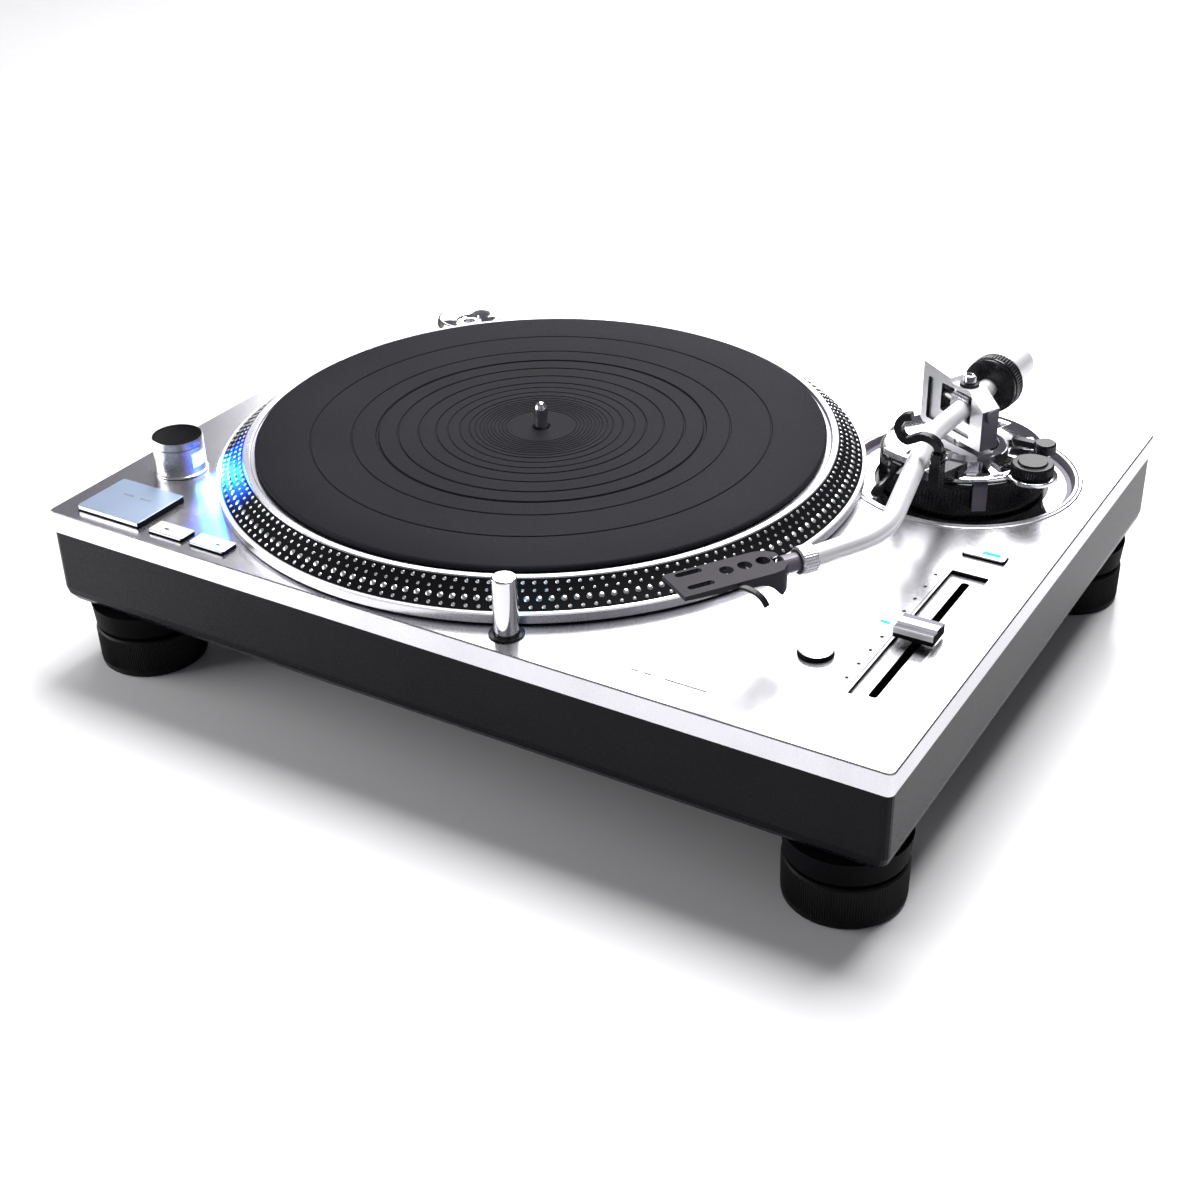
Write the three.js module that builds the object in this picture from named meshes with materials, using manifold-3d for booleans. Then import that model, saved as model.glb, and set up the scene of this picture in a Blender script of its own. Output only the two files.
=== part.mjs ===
// A direct-drive turntable record player: a flat metal deck on four levelling feet, a driven platter with
// its mat, press buttons, a pitch fader, a pop-up stylus lamp and an S-shaped tonearm in a gimbal.
// Millimetres, +X right, +Y back, +Z up. The origin is on the floor under the middle of the deck.
import * as THREE from "three";
import { mergeVertices } from "three/addons/utils/BufferGeometryUtils.js";
import Module from "manifold-3d";

const wasm = await Module();
wasm.setup();

// ---- Driving dimensions ----
const GAP = 0.3; // between pieces that touch
const DECK = { width: 453, depth: 346, thick: 11, corner: 3, top: 88.5 };
const TRAY = { inset: 0.5, height: 42, wall: 6, draft: 3, floor: 4, edge: 10, corner: 4 };
const FOOT = { insetX: 29.3, insetY: 28.6, r: 27.6, height: 21, screwR: 8, screwTop: 34.4 };
const COLLAR = { r: 28.1, foot: 23, pocket: 1.5 };
const PLATTER = {
  x: -41,
  y: -4.9,
  r: 166.5,
  lip: 6,
  bevelFoot: 164.5,
  bevelR: 152,
  bevelTop: 16.4,
  seat: 15,
  gap: 1.4,
};
const MAT = { r: 146, thick: 3.2, holeR: 4.2 };
const SPINDLE = { r: 3.6, top: 32, foot: -34 };
const MOTOR = { openingR: 85, statorR: 72, magnetR: 62, magnetIn: 42 };
const KNOB = { x: -198.7, y: -105, r: 13, top: 19.5, dial: 4 };
const START = { x0: -213, x1: -172.5, y0: -165, y1: -132, proud: 3 };
const SPEED = { x0: [-166, -139.9], width: 21.6, y0: -165.5, y1: -155.5, proud: 2 };
const RESET = { x0: 185.6, x1: 206, y0: 3.4, y1: 10.5, proud: 1.6 };
const LAMP = { x: 38, y: -158.6, r: 5.7, top: 29, foot: -6, drop: 27 };
const LAMP_BUTTON = { x: 162.6, y: -107.2, r: 8, proud: 2.6 };
const FADER = { x: 195.8, y: -70, width: 20, length: 119, deep: 2.4, slot: 4, slotLength: 107 };
const FADER_KNOB = { width: 18.6, length: 13.4, foot: 1.2, top: 7.2, rest: -4 };
const ADAPTOR = { x: -180.5, y: 131.6, r: 19, high: 6.5, seat: 5 };
const BUTTON_FOOT = -8; // how far every button's body reaches below the deck's top

const ARM = { x: 154.5, y: 82.8, z: 38, r: 4.9, lean: 4 };
const WELL = { r: 60, deep: 5, ringR: 43.5 };
const RING = { r: 41.5, inner: 36, foot: -3, top: 14 };
const BASE = { r: 35.3, plateR: 39.4, plateFoot: 14.3, plateTop: 16.5, bossR: 17, bossTop: 18.2, foot: -24 };
const GIMBAL = { turn: -28, left: -28, right: 17, foot: 20, high: 53, seat: 48.5, low: 41, half: 5.4 };
const WINDOW = { left: -16, right: 8.4, foot: 30, top: 44.8 };
const RECESS = { left: -24, right: 8.4, foot: 23.5, top: 46, deep: 2 };
const TRUNNION = { halfX: 6.4, halfY: 6.5, halfZ: 6.2 };
const HEAD = { turn: 33.5, length: 52, half: 10.2, top: 36, thick: 2.4, plug: 14, axisZ: 32 };
const WEIGHT = {
  r: 14.3,
  start: 27,
  end: 39,
  dialFront: 23,
  auxR: 7.8,
  auxStart: 43,
  auxEnd: 63,
  shaftEnd: 67,
};

// ---- Materials ----
const finish = (color, roughness, metalness) =>
  new THREE.MeshStandardMaterial({ color, roughness, metalness });
const silver = finish("#c9cacf", 0.35, 1);
const polished = finish("#dcdde1", 0.15, 1);
const charcoal = finish("#37363b", 0.55, 0.2);
const black = finish("#141416", 0.5, 0.1);
const rubber = finish("#232225", 0.85, 0);
const board = finish("#1f4a35", 0.6, 0);
const copper = finish("#a9683c", 0.4, 1);
const glow = finish("#58c8ff", 0.2, 0);

// ---- Solids ----
// A closed geometry as a manifold solid: only positions are kept, and flat triangles are dropped.
function solid(geometry) {
  const bare = new THREE.BufferGeometry();
  bare.setAttribute("position", geometry.getAttribute("position"));
  bare.setIndex(geometry.getIndex());
  const merged = mergeVertices(bare, 1e-3);
  const all = merged.getIndex().array;
  const kept = [];
  for (let i = 0; i < all.length; i += 3) {
    const [a, b, c] = [all[i], all[i + 1], all[i + 2]];
    if (a !== b && b !== c && c !== a) kept.push(a, b, c);
  }
  const vertProperties = merged.getAttribute("position").array;
  return new wasm.Manifold(new wasm.Mesh({ numProp: 3, vertProperties, triVerts: new Uint32Array(kept) }));
}

function geometryOf(made) {
  const { vertProperties, triVerts } = made.getMesh();
  const geometry = new THREE.BufferGeometry();
  geometry.setAttribute("position", new THREE.BufferAttribute(new Float32Array(vertProperties), 3));
  geometry.setIndex(new THREE.BufferAttribute(new Uint32Array(triVerts), 1));
  geometry.computeVertexNormals();
  return geometry;
}

const join = (...solids) => solids.reduce((sum, next) => sum.add(next));
const cut = (whole, ...tools) => tools.reduce((rest, tool) => rest.subtract(tool), whole);

// A solid moved by x, y, z after turning it, in degrees, about X, then Y, then Z.
function place(made, x, y, z, turnX = 0, turnY = 0, turnZ = 0) {
  return made.rotate([turnX, turnY, turnZ]).translate([x, y, z]);
}

// A profile of [radius, z] corners, anticlockwise in that plane, turned about Z.
function lathe(profile, sides = 24) {
  const onAxis = profile[0][0] === 0 && profile.at(-1)[0] === 0;
  const loop = onAxis ? profile : [...profile, profile[0]];
  const points = loop.map(([r, z]) => new THREE.Vector2(r, z));
  return solid(new THREE.LatheGeometry(points, sides).rotateX(Math.PI / 2));
}

const disc = (r, z0, z1, sides = 20) => lathe([[0, z0], [r, z0], [r, z1], [0, z1]], sides);
const tube = (inner, r, z0, z1, sides = 24) => lathe([[inner, z0], [r, z0], [r, z1], [inner, z1]], sides);

function box(x0, x1, y0, y1, z0, z1) {
  const geometry = new THREE.BoxGeometry(x1 - x0, y1 - y0, z1 - z0);
  return solid(geometry.translate((x0 + x1) / 2, (y0 + y1) / 2, (z0 + z1) / 2));
}

// A flat outline of [x, y] corners, raised from z0 to z1.
function prism(corners, z0, z1) {
  const shape = new THREE.Shape(corners.map(([x, y]) => new THREE.Vector2(x, y)));
  const geometry = new THREE.ExtrudeGeometry(shape, { depth: z1 - z0, bevelEnabled: false });
  return solid(geometry.translate(0, 0, z0));
}

// The corners of a rectangle with round corners, centred on x, y.
function roundRect(x, y, halfX, halfY, r, steps = 4) {
  const corners = [[1, 1], [-1, 1], [-1, -1], [1, -1]];
  return corners.flatMap(([sx, sy], quarter) =>
    Array.from({ length: steps + 1 }, (_, i) => {
      const a = ((quarter + i / steps) * Math.PI) / 2;
      return [x + sx * (halfX - r) + r * Math.cos(a), y + sy * (halfY - r) + r * Math.sin(a)];
    }),
  );
}

// Outlines with the same number of corners, each at its own height, joined by flat sides and closed.
function loft(levels) {
  const positions = levels.flatMap(({ outline, z }) => outline.flatMap(([x, y]) => [x, y, z]));
  const n = levels[0].outline.length;
  const top = (levels.length - 1) * n;
  const index = [];
  for (let level = 0; level + 1 < levels.length; level++) {
    for (let i = 0; i < n; i++) {
      const [a, b] = [level * n + i, level * n + ((i + 1) % n)];
      index.push(a, b, b + n, a, b + n, a + n);
    }
  }
  for (let i = 1; i + 1 < n; i++) {
    index.push(0, i + 1, i);
    index.push(top, top + i, top + i + 1);
  }
  const geometry = new THREE.BufferGeometry();
  geometry.setAttribute("position", new THREE.Float32BufferAttribute(positions, 3));
  return solid(geometry.setIndex(index));
}

// A round-cornered block whose top edges are cut back by a small bevel.
function key(x0, x1, y0, y1, z0, z1, corner, bevel) {
  const outline = (inset) =>
    roundRect((x0 + x1) / 2, (y0 + y1) / 2, (x1 - x0) / 2 - inset, (y1 - y0) / 2 - inset, corner, 3);
  return loft([
    { outline: outline(0), z: z0 },
    { outline: outline(0), z: z1 - bevel },
    { outline: outline(bevel), z: z1 },
  ]);
}

// A round bar swept along a curve.
function rod(curve, r, sides = 12, steps = 24) {
  const circle = new THREE.Shape(
    Array.from({ length: sides }, (_, i) => {
      const a = (i / sides) * 2 * Math.PI;
      return new THREE.Vector2(r * Math.cos(a), r * Math.sin(a));
    }),
  );
  return solid(new THREE.ExtrudeGeometry(circle, { extrudePath: curve, steps, curveSegments: 1 }));
}

// A flat band of even thickness that follows a line of [x, z] points, as an outline.
function band(points, thick) {
  const line = new THREE.CatmullRomCurve3(points.map(([x, z]) => new THREE.Vector3(x, z, 0)));
  const steps = points.length * 2;
  const side = (sign) =>
    Array.from({ length: steps + 1 }, (_, i) => {
      const p = line.getPoint(i / steps);
      const t = line.getTangent(i / steps);
      return [p.x - (sign * t.y * thick) / 2, p.y + (sign * t.x * thick) / 2];
    });
  return [...side(-1), ...side(1).reverse()];
}

// ---- The scene graph ----
const turntable = new THREE.Group();
const deck = new THREE.Group();
deck.position.z = DECK.top;
const arm = new THREE.Group();
arm.position.set(ARM.x, ARM.y, 0);
deck.add(arm);
const gimbal = new THREE.Group();
gimbal.rotation.z = THREE.MathUtils.degToRad(GIMBAL.turn);
arm.add(gimbal);
turntable.add(deck);

function add(group, name, made, material) {
  const mesh = new THREE.Mesh(geometryOf(made), material.clone());
  mesh.name = name;
  group.add(mesh);
}

// ---- Chassis ----
function topPlate() {
  const outline = (inset) => roundRect(0, 0, DECK.width / 2 - inset, DECK.depth / 2 - inset, DECK.corner);
  const plate = loft([
    { outline: outline(0), z: -DECK.thick },
    { outline: outline(0), z: -0.6 },
    { outline: outline(0.6), z: 0 },
  ]);
  const through = (corners) => prism(corners, -DECK.thick - 1, 1);
  const rect = (x0, x1, y0, y1, r) =>
    through(roundRect((x0 + x1) / 2, (y0 + y1) / 2, (x1 - x0) / 2 + GAP, (y1 - y0) / 2 + GAP, r));
  const hole = (x, y, r, sides = 20) => place(disc(r, -DECK.thick - 1, 1, sides), x, y, 0);
  return cut(
    plate,
    hole(PLATTER.x, PLATTER.y, MOTOR.openingR, 30),
    hole(ARM.x, ARM.y, WELL.r, 36),
    hole(KNOB.x, KNOB.y, KNOB.r - 4),
    hole(LAMP.x, LAMP.y, LAMP.r + 1.6),
    hole(LAMP_BUTTON.x, LAMP_BUTTON.y, LAMP_BUTTON.r + GAP),
    rect(START.x0, START.x1, START.y0, START.y1, 1),
    ...SPEED.x0.map((x0) => rect(x0, x0 + SPEED.width, SPEED.y0, SPEED.y1, 1)),
    rect(RESET.x0, RESET.x1, RESET.y0, RESET.y1, 1),
    through(roundRect(FADER.x, FADER.y, FADER.width / 2 + GAP, FADER.length / 2 + GAP, 1)),
    place(disc(ADAPTOR.r + 0.6, -ADAPTOR.seat, 1, 24), ADAPTOR.x, ADAPTOR.y, 0),
  );
}

const trayTop = -DECK.thick - GAP;
const trayFoot = trayTop - TRAY.height;

function trayOutline(inset, r) {
  return roundRect(0, 0, DECK.width / 2 - TRAY.inset - inset, DECK.depth / 2 - TRAY.inset - inset, r);
}

function chassisTray() {
  const turns = [0, 1, 2, 3, 4].map((i) => (i * Math.PI) / 8);
  const shell = loft([
    ...turns.map((a) => ({
      outline: trayOutline(TRAY.edge * (1 - Math.sin(a)), TRAY.corner),
      z: trayFoot + TRAY.edge * (1 - Math.cos(a)),
    })),
    { outline: trayOutline(0, TRAY.corner), z: trayTop },
  ]);
  const inside = loft([
    { outline: trayOutline(TRAY.wall + TRAY.edge, 3), z: trayFoot + TRAY.floor },
    { outline: trayOutline(TRAY.wall + TRAY.draft, 3), z: trayFoot + TRAY.floor + TRAY.edge },
    { outline: trayOutline(TRAY.wall, 3), z: trayTop + 1 },
  ]);
  const backY = DECK.depth / 2;
  const inletDoor = box(-176, -144, backY - 30, backY + 1, trayTop - 28, trayTop - 6);
  const phonoDoor = box(104, 176, backY - 30, backY + 1, trayTop - 28, trayTop - 6);
  const lampWell = disc(LAMP.r + 0.7, LAMP.foot - LAMP.drop - 1, trayTop + 1);
  const sleeveWell = disc(LAMP.r + 1.6, -17, trayTop + 1);
  return cut(shell, inside, inletDoor, phonoDoor, place(join(lampWell, sleeveWell), LAMP.x, LAMP.y, 0));
}

function baseCover() {
  const half = { x: DECK.width / 2 - 62, y: DECK.depth / 2 - 16 };
  return prism(roundRect(0, 0, half.x, half.y, 8), trayFoot - GAP - 2.5, trayFoot - GAP);
}

const footPlaces = {
  front_left: [-1, -1],
  front_right: [1, -1],
  rear_left: [-1, 1],
  rear_right: [1, 1],
};

// Heights inside this function and the next are above the floor.
function footCollar() {
  const top = DECK.top + trayFoot - GAP;
  const ceiling = COLLAR.foot + COLLAR.pocket;
  return lathe([
    [FOOT.screwR + 0.4, ceiling],
    [COLLAR.r - 4.5, ceiling],
    [COLLAR.r - 4.5, COLLAR.foot],
    [COLLAR.r - 1.1, COLLAR.foot],
    [COLLAR.r, top],
    [FOOT.screwR + 0.4, top],
  ], 20);
}

function foot() {
  const top = FOOT.height;
  return lathe([
    [0, 0],
    [FOOT.r - 1.6, 0],
    [FOOT.r - 0.4, 1.2],
    [FOOT.r, top - 0.8],
    [FOOT.r - 0.8, top],
    [FOOT.screwR, top],
    [FOOT.screwR, FOOT.screwTop],
    [0, FOOT.screwTop],
  ], 20);
}

function buildChassis() {
  add(deck, "top_plate", topPlate(), silver);
  add(deck, "chassis_tray", chassisTray(), charcoal);
  add(deck, "base_cover", baseCover(), black);
  for (const [where, [sx, sy]] of Object.entries(footPlaces)) {
    const spot = new THREE.Group();
    spot.position.set(sx * (DECK.width / 2 - FOOT.insetX), sy * (DECK.depth / 2 - FOOT.insetY), 0);
    add(spot, `foot_collar_${where}`, footCollar(), black);
    add(spot, `foot_${where}`, foot(), rubber);
    turntable.add(spot);
  }
}

// ---- Platter and motor ----
function platter() {
  const { r, lip, bevelFoot, bevelR, bevelTop, seat, gap } = PLATTER;
  return cut(
    lathe([
      [0, gap + 1.5],
      [70, gap + 1.5],
      [74, gap + 6],
      [148, gap + 6],
      [153, gap + 0.4],
      [r - 1, gap],
      [r, gap + 1],
      [r, lip - 0.6],
      [r - 0.6, lip],
      [bevelFoot, lip],
      [bevelR, bevelTop - 0.5],
      [bevelR - 0.6, bevelTop],
      [bevelR - 3.4, bevelTop],
      [bevelR - 4, seat],
      [0, seat],
    ], 60),
    disc(SPINDLE.r + 0.1, -1, seat + 1, 20),
  );
}

function mat() {
  const { r, thick, holeR } = MAT;
  const foot = PLATTER.seat + GAP;
  return lathe([
    [holeR, foot],
    [r - 0.8, foot],
    [r, foot + 0.8],
    [r, foot + thick - 1],
    [r - 1, foot + thick],
    [holeR, foot + thick],
  ], 48);
}

function spindle() {
  const { r, top, foot: low } = SPINDLE;
  return lathe([
    [0, low],
    [r - 0.1, low],
    [r - 0.1, top - 5],
    [r - 0.6, top - 2.2],
    [r - 1.9, top - 0.5],
    [0, top],
  ], 20);
}

function statorCoils() {
  const yoke = tube(24, MOTOR.statorR, -27, -23);
  const coils = Array.from({ length: 9 }, (_, i) => {
    const a = (i * 2 * Math.PI) / 9;
    return place(disc(8.6, -23.2, -16, 10), 51 * Math.cos(a), 51 * Math.sin(a), 0);
  });
  const posts = [0, 120, 240].map((a) => {
    const [x, y] = [66 * Math.cos((a * Math.PI) / 180), 66 * Math.sin((a * Math.PI) / 180)];
    return place(disc(4, trayFoot + TRAY.floor + GAP, -26.8, 8), x, y, 0);
  });
  return join(yoke, ...coils, ...posts);
}

function bearingHousing() {
  const low = trayFoot + TRAY.floor + GAP;
  const bore = SPINDLE.r + 0.1;
  return cut(
    lathe([
      [0, low],
      [22, low],
      [22, low + 3],
      [11, low + 5],
      [11, -2],
      [0, -2],
    ], 20),
    disc(bore, SPINDLE.foot - GAP, 1, 20),
  );
}

function rotorMagnet() {
  const top = PLATTER.gap + 1.5 - GAP;
  return lathe([
    [16, top - 3],
    [MOTOR.magnetIn, top - 3],
    [MOTOR.magnetIn, -14],
    [MOTOR.magnetR, -14],
    [MOTOR.magnetR, top],
    [16, top],
  ], 30);
}

function buildPlatter() {
  const centre = new THREE.Group();
  centre.position.set(PLATTER.x, PLATTER.y, 0);
  add(centre, "platter", platter(), silver);
  add(centre, "platter_mat", mat(), rubber);
  add(centre, "spindle", spindle(), polished);
  add(centre, "rotor_magnet", rotorMagnet(), black);
  add(centre, "motor_stator", statorCoils(), copper);
  add(centre, "bearing_housing", bearingHousing(), silver);
  deck.add(centre);
}

// ---- Inside the tray and on its back ----
function transformer() {
  const low = trayFoot + TRAY.floor + GAP;
  const core = box(-205, -155, 60, 105, low, low + 24);
  const winding = place(disc(16, 0, 51, 20), -180, 57, low + 12.5, -90);
  return join(core, winding.intersect(box(-210, -150, 50, 115, low, low + 25)));
}

function controlBoard() {
  const low = trayFoot + TRAY.floor + GAP;
  const plate = box(70, 200, -150, 0, low + 3, low + 4.6);
  const corners = [[76, -144], [194, -144], [76, -6], [194, -6]];
  const legs = corners.map(([x, y]) => place(disc(3, low, low + 3.2, 12), x, y, 0));
  const chips = [[100, -120], [135, -70], [165, -118]].map(([x, y]) =>
    box(x - 11, x + 11, y - 8, y + 8, low + 4.4, low + 8),
  );
  return join(plate, ...legs, ...chips);
}

const backFace = DECK.depth / 2 - TRAY.inset;

// A socket for a three-pole mains lead: a block with an open well and three flat blades in it.
function powerInlet() {
  const [x, z] = [-160, trayTop - 17];
  const block = box(x - 15.6, x + 15.6, backFace - 24, backFace - 3, z - 10.6, z + 10.6);
  const well = box(x - 12, x + 12, backFace - 19, backFace, z - 7.5, z + 7.5);
  const blades = [[-7, 0.5], [0, -1.5], [7, 0.5]].map(([dx, dz]) =>
    box(x + dx - 1, x + dx + 1, backFace - 20, backFace - 7, z + dz - 2.4, z + dz + 2.4),
  );
  return join(cut(block, well), ...blades);
}

// A plate with two round signal jacks.
function phonoPanel() {
  const [x, z] = [140, trayTop - 17];
  const plate = box(x - 35.6, x + 35.6, backFace - 12, backFace - 8, z - 10.6, z + 10.6);
  const jacks = [-20, -2].map((dx) => place(tube(1.8, 4.6, 0, 8, 16), x + dx, backFace - 8.2, z, -90));
  return join(plate, ...jacks);
}

function groundPost() {
  const [x, z] = [164, trayTop - 17];
  const stem = place(disc(2, 0, 7.5, 12), x, backFace - 8 + GAP, z, -90);
  const thumbNut = place(disc(5.5, 2.5, 6.5, 16), x, backFace - 8 + GAP, z, -90);
  return join(stem, thumbNut);
}

function buildInside() {
  add(deck, "power_transformer", transformer(), copper);
  add(deck, "control_board", controlBoard(), board);
  add(deck, "power_inlet", powerInlet(), black);
  add(deck, "phono_panel", phonoPanel(), black);
  add(deck, "ground_post", groundPost(), polished);
}

// ---- Controls on the deck ----
const dialFoot = KNOB.top - KNOB.dial;
const strobeTurn = THREE.MathUtils.radToDeg(Math.atan2(PLATTER.y - KNOB.y, PLATTER.x - KNOB.x)) - 22;

// The window in the silver barrel looks at the platter, so its lamp lights the dots on the rim.
function strobeHousing() {
  const barrel = lathe([
    [0, GAP],
    [KNOB.r + 0.7, GAP],
    [KNOB.r + 0.7, 1.2],
    [KNOB.r, 1.6],
    [KNOB.r, dialFoot - GAP],
    [0, dialFoot - GAP],
  ], 28);
  const stem = disc(KNOB.r - 4.6, -18, 1, 16);
  const window = place(box(6, 16, -6, 6, 5, 12.5), 0, 0, 0, 0, 0, strobeTurn);
  return cut(join(barrel, stem), window);
}

function strobeLens() {
  const inner = lathe([[0, 5.4], [KNOB.r - 0.4, 5.4], [KNOB.r - 0.4, 12.1], [0, 12.1]], 28);
  const block = inner.intersect(box(6.4, 16, -5.6, 5.6, 5, 13));
  return place(block, 0, 0, 0, 0, 0, strobeTurn);
}

function powerDial() {
  return lathe([
    [0, dialFoot],
    [KNOB.r, dialFoot],
    [KNOB.r, KNOB.top - 0.5],
    [KNOB.r - 0.5, KNOB.top],
    [KNOB.r - 1.4, KNOB.top],
    [KNOB.r - 2.2, KNOB.top - 0.7],
    [0, KNOB.top - 1.6],
  ], 28);
}

function faderBezel() {
  const { x, y, width, length, deep, slot, slotLength } = FADER;
  const dish = prism(roundRect(x, y, width / 2, length / 2, 1), -DECK.thick, -0.2);
  const well = prism(roundRect(x, y, width / 2 - 1, length / 2 - 1, 0.8), -deep, 1);
  const gap = prism(roundRect(x, y, slot / 2, slotLength / 2, 1.5), -DECK.thick - 1, 0);
  return cut(dish, well, gap);
}

function faderKnob() {
  const [halfX, halfY] = [FADER_KNOB.width / 2, FADER_KNOB.length / 2];
  const side = [
    [-halfY, FADER_KNOB.foot],
    [halfY, FADER_KNOB.foot],
    [halfY, FADER_KNOB.top - 1.6],
    [halfY - 1.2, FADER_KNOB.top - 0.6],
    [1.5, FADER_KNOB.top - 1.2],
    [0, FADER_KNOB.top],
    [-1.5, FADER_KNOB.top - 1.2],
    [1.2 - halfY, FADER_KNOB.top - 0.6],
    [-halfY, FADER_KNOB.top - 1.6],
  ];
  const cap = place(prism(side, -halfX, halfX), 0, 0, 0, 90, 0, 90);
  const blade = box(-1.4, 1.4, -3, 3, -13, 2);
  return place(join(cap, blade), FADER.x, FADER.y + FADER_KNOB.rest, 0);
}

// The lamp's face is a flat on the side towards the platter, and the lens lies in it.
function lampPost() {
  const post = lathe([
    [0, LAMP.foot],
    [LAMP.r, LAMP.foot],
    [LAMP.r, LAMP.top - 0.8],
    [LAMP.r - 0.8, LAMP.top],
    [0, LAMP.top],
  ], 24);
  return cut(post, box(-2.3, 2.3, LAMP.r - 1.6, LAMP.r + 1, 4, LAMP.top - 3));
}

const lampLens = () => box(-2, 2, LAMP.r - 1.3, LAMP.r - 0.5, 4.3, LAMP.top - 3.3);

function lampSleeve() {
  return lathe([
    [LAMP.r + 0.3, -16],
    [LAMP.r + 1.3, -16],
    [LAMP.r + 1.3, GAP],
    [LAMP.r + 2.4, GAP],
    [LAMP.r + 2.4, 0.8],
    [LAMP.r + 0.3, 0.8],
  ]);
}

function recordAdaptor() {
  const foot = GAP - ADAPTOR.seat;
  const top = foot + ADAPTOR.high + 1.5;
  return lathe([
    [3.7, foot],
    [ADAPTOR.r - 0.6, foot],
    [ADAPTOR.r, foot + 0.6],
    [ADAPTOR.r, top - 1.6],
    [ADAPTOR.r - 1.6, top],
    [8, top - 1.8],
    [7, top - 3],
    [3.7, top - 3],
  ], 24);
}

function buildControls() {
  const knob = new THREE.Group();
  knob.position.set(KNOB.x, KNOB.y, 0);
  add(knob, "strobe_housing", strobeHousing(), silver);
  add(knob, "strobe_lens", strobeLens(), glow);
  add(knob, "power_dial", powerDial(), black);
  const { x0, x1, y0, y1, proud } = START;
  add(deck, "start_stop_button", key(x0, x1, y0, y1, BUTTON_FOOT, proud, 1, 0.6), silver);
  ["speed_33_button", "speed_45_button"].forEach((name, i) => {
    const left = SPEED.x0[i];
    const made = key(left, left + SPEED.width, SPEED.y0, SPEED.y1, BUTTON_FOOT, SPEED.proud, 1, 0.5);
    add(deck, name, made, silver);
  });
  const reset = key(RESET.x0, RESET.x1, RESET.y0, RESET.y1, BUTTON_FOOT, RESET.proud, 1, 0.4);
  add(deck, "reset_button", reset, silver);
  const button = lathe([
    [0, BUTTON_FOOT],
    [LAMP_BUTTON.r, BUTTON_FOOT],
    [LAMP_BUTTON.r, LAMP_BUTTON.proud - 0.5],
    [LAMP_BUTTON.r - 0.5, LAMP_BUTTON.proud],
    [0, LAMP_BUTTON.proud],
  ], 24);
  add(deck, "lamp_button", place(button, LAMP_BUTTON.x, LAMP_BUTTON.y, 0), silver);
  add(deck, "fader_bezel", faderBezel(), polished);
  add(deck, "fader_knob", faderKnob(), silver);
  const lamp = new THREE.Group();
  lamp.position.set(LAMP.x, LAMP.y, 0);
  add(lamp, "lamp_post", lampPost(), polished);
  add(lamp, "lamp_lens", lampLens(), black);
  add(lamp, "lamp_sleeve", lampSleeve(), polished);
  const adaptor = new THREE.Group();
  adaptor.position.set(ADAPTOR.x, ADAPTOR.y, 0);
  add(adaptor, "record_adaptor", recordAdaptor(), polished);
  deck.add(knob, lamp, adaptor);
}

// ---- Tonearm base: everything here is placed from the arm's upright axis ----
function armMount() {
  return lathe([
    [BASE.r + GAP, -15],
    [WELL.r + 4.4, -15],
    [WELL.r + 4.4, -DECK.thick - GAP],
    [WELL.r - 0.4, -DECK.thick - GAP],
    [WELL.r - 0.4, -WELL.deep - 0.6],
    [BASE.r + GAP, -WELL.deep - 0.6],
  ], 30);
}

function armWell() {
  return lathe([
    [WELL.ringR, -WELL.deep - GAP],
    [WELL.r - 0.4, -WELL.deep - GAP],
    [WELL.r - 0.4, 0.5],
    [WELL.r - 2.2, 0.5],
    [WELL.r - 2.8, -0.3],
    [WELL.r - 3.6, -WELL.deep + 1],
    [WELL.ringR, -WELL.deep + 1],
  ], 30);
}

function heightRing() {
  const { r, inner, foot: low, top } = RING;
  return lathe([
    [inner, low],
    [r - 0.6, low],
    [r, low + 0.6],
    [r, top - 1.2],
    [r - 1.2, top],
    [inner, top],
  ], 30);
}

const skate = { x: 40.5, y: -15, r: 10.4 };
const lock = { x: 38.5, y: 9, r: 5.5, turn: 180 };
const indexTurn = 32; // degrees from -Y towards +X
const lift = { x: -13.5, y: -28.5, r: 2.4, barR: 51 };

function armBase() {
  const { r, plateR, plateFoot, plateTop, bossR, bossTop, foot: low } = BASE;
  const body = lathe([
    [0, low],
    [r, low],
    [r, plateFoot],
    [plateR, plateFoot],
    [plateR, plateTop - 0.6],
    [plateR - 0.6, plateTop],
    [bossR + 2.5, plateTop],
    [bossR, bossTop],
    [0, bossTop],
  ], 28);
  const pads = [[skate.x, skate.y, 12.5], [lock.x, lock.y, 8]].map(([x, y, padR]) =>
    place(disc(padR, plateFoot, plateTop, 20), x, y, 0),
  );
  const tab = place(box(-3.4, 3.4, -RING.r - 1.9, 2 - plateR, 1, plateTop - 0.2), 0, 0, 0, 0, 0, indexTurn);
  const tabRelief = place(box(-3.5, 3.5, -RING.r - 0.4, -30, 0, plateFoot), 0, 0, 0, 0, 0, indexTurn);
  const windows = [64, 118, 172, 226].map((a) => {
    const opening = prism([[-7, -33], [7, -33], [4.4, -22], [-4.4, -22]], plateTop - 6, plateTop + 2);
    return place(opening, 0, 0, 0, 0, 0, a);
  });
  const slots = [
    place(disc(lift.r + 0.3, 4, plateTop + 1, 12), lift.x, lift.y, 0),
    place(prism([[-9, -33.5], [9, -33.5], [6, -21], [-6, -21]], plateTop - 6, plateTop + 2), 0, 0, 0, 0, 0, 28),
  ];
  return cut(join(body, ...pads, cut(tab, tabRelief)), ...windows, ...slots);
}

function pivotPost() {
  const [low, top] = [BASE.bossTop - 6, GIMBAL.foot - GAP];
  return lathe([[0, low], [5, low], [5, top], [0, top]], 24);
}

// Where the arm rests: a foot on the base, a sloping beam under the tube, a saddle and a post for the clamp.
const rest = { y0: -75, y1: -67, saddleTop: 31.6, hingeX: 12.8, hingeZ: 43.6 };

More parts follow.
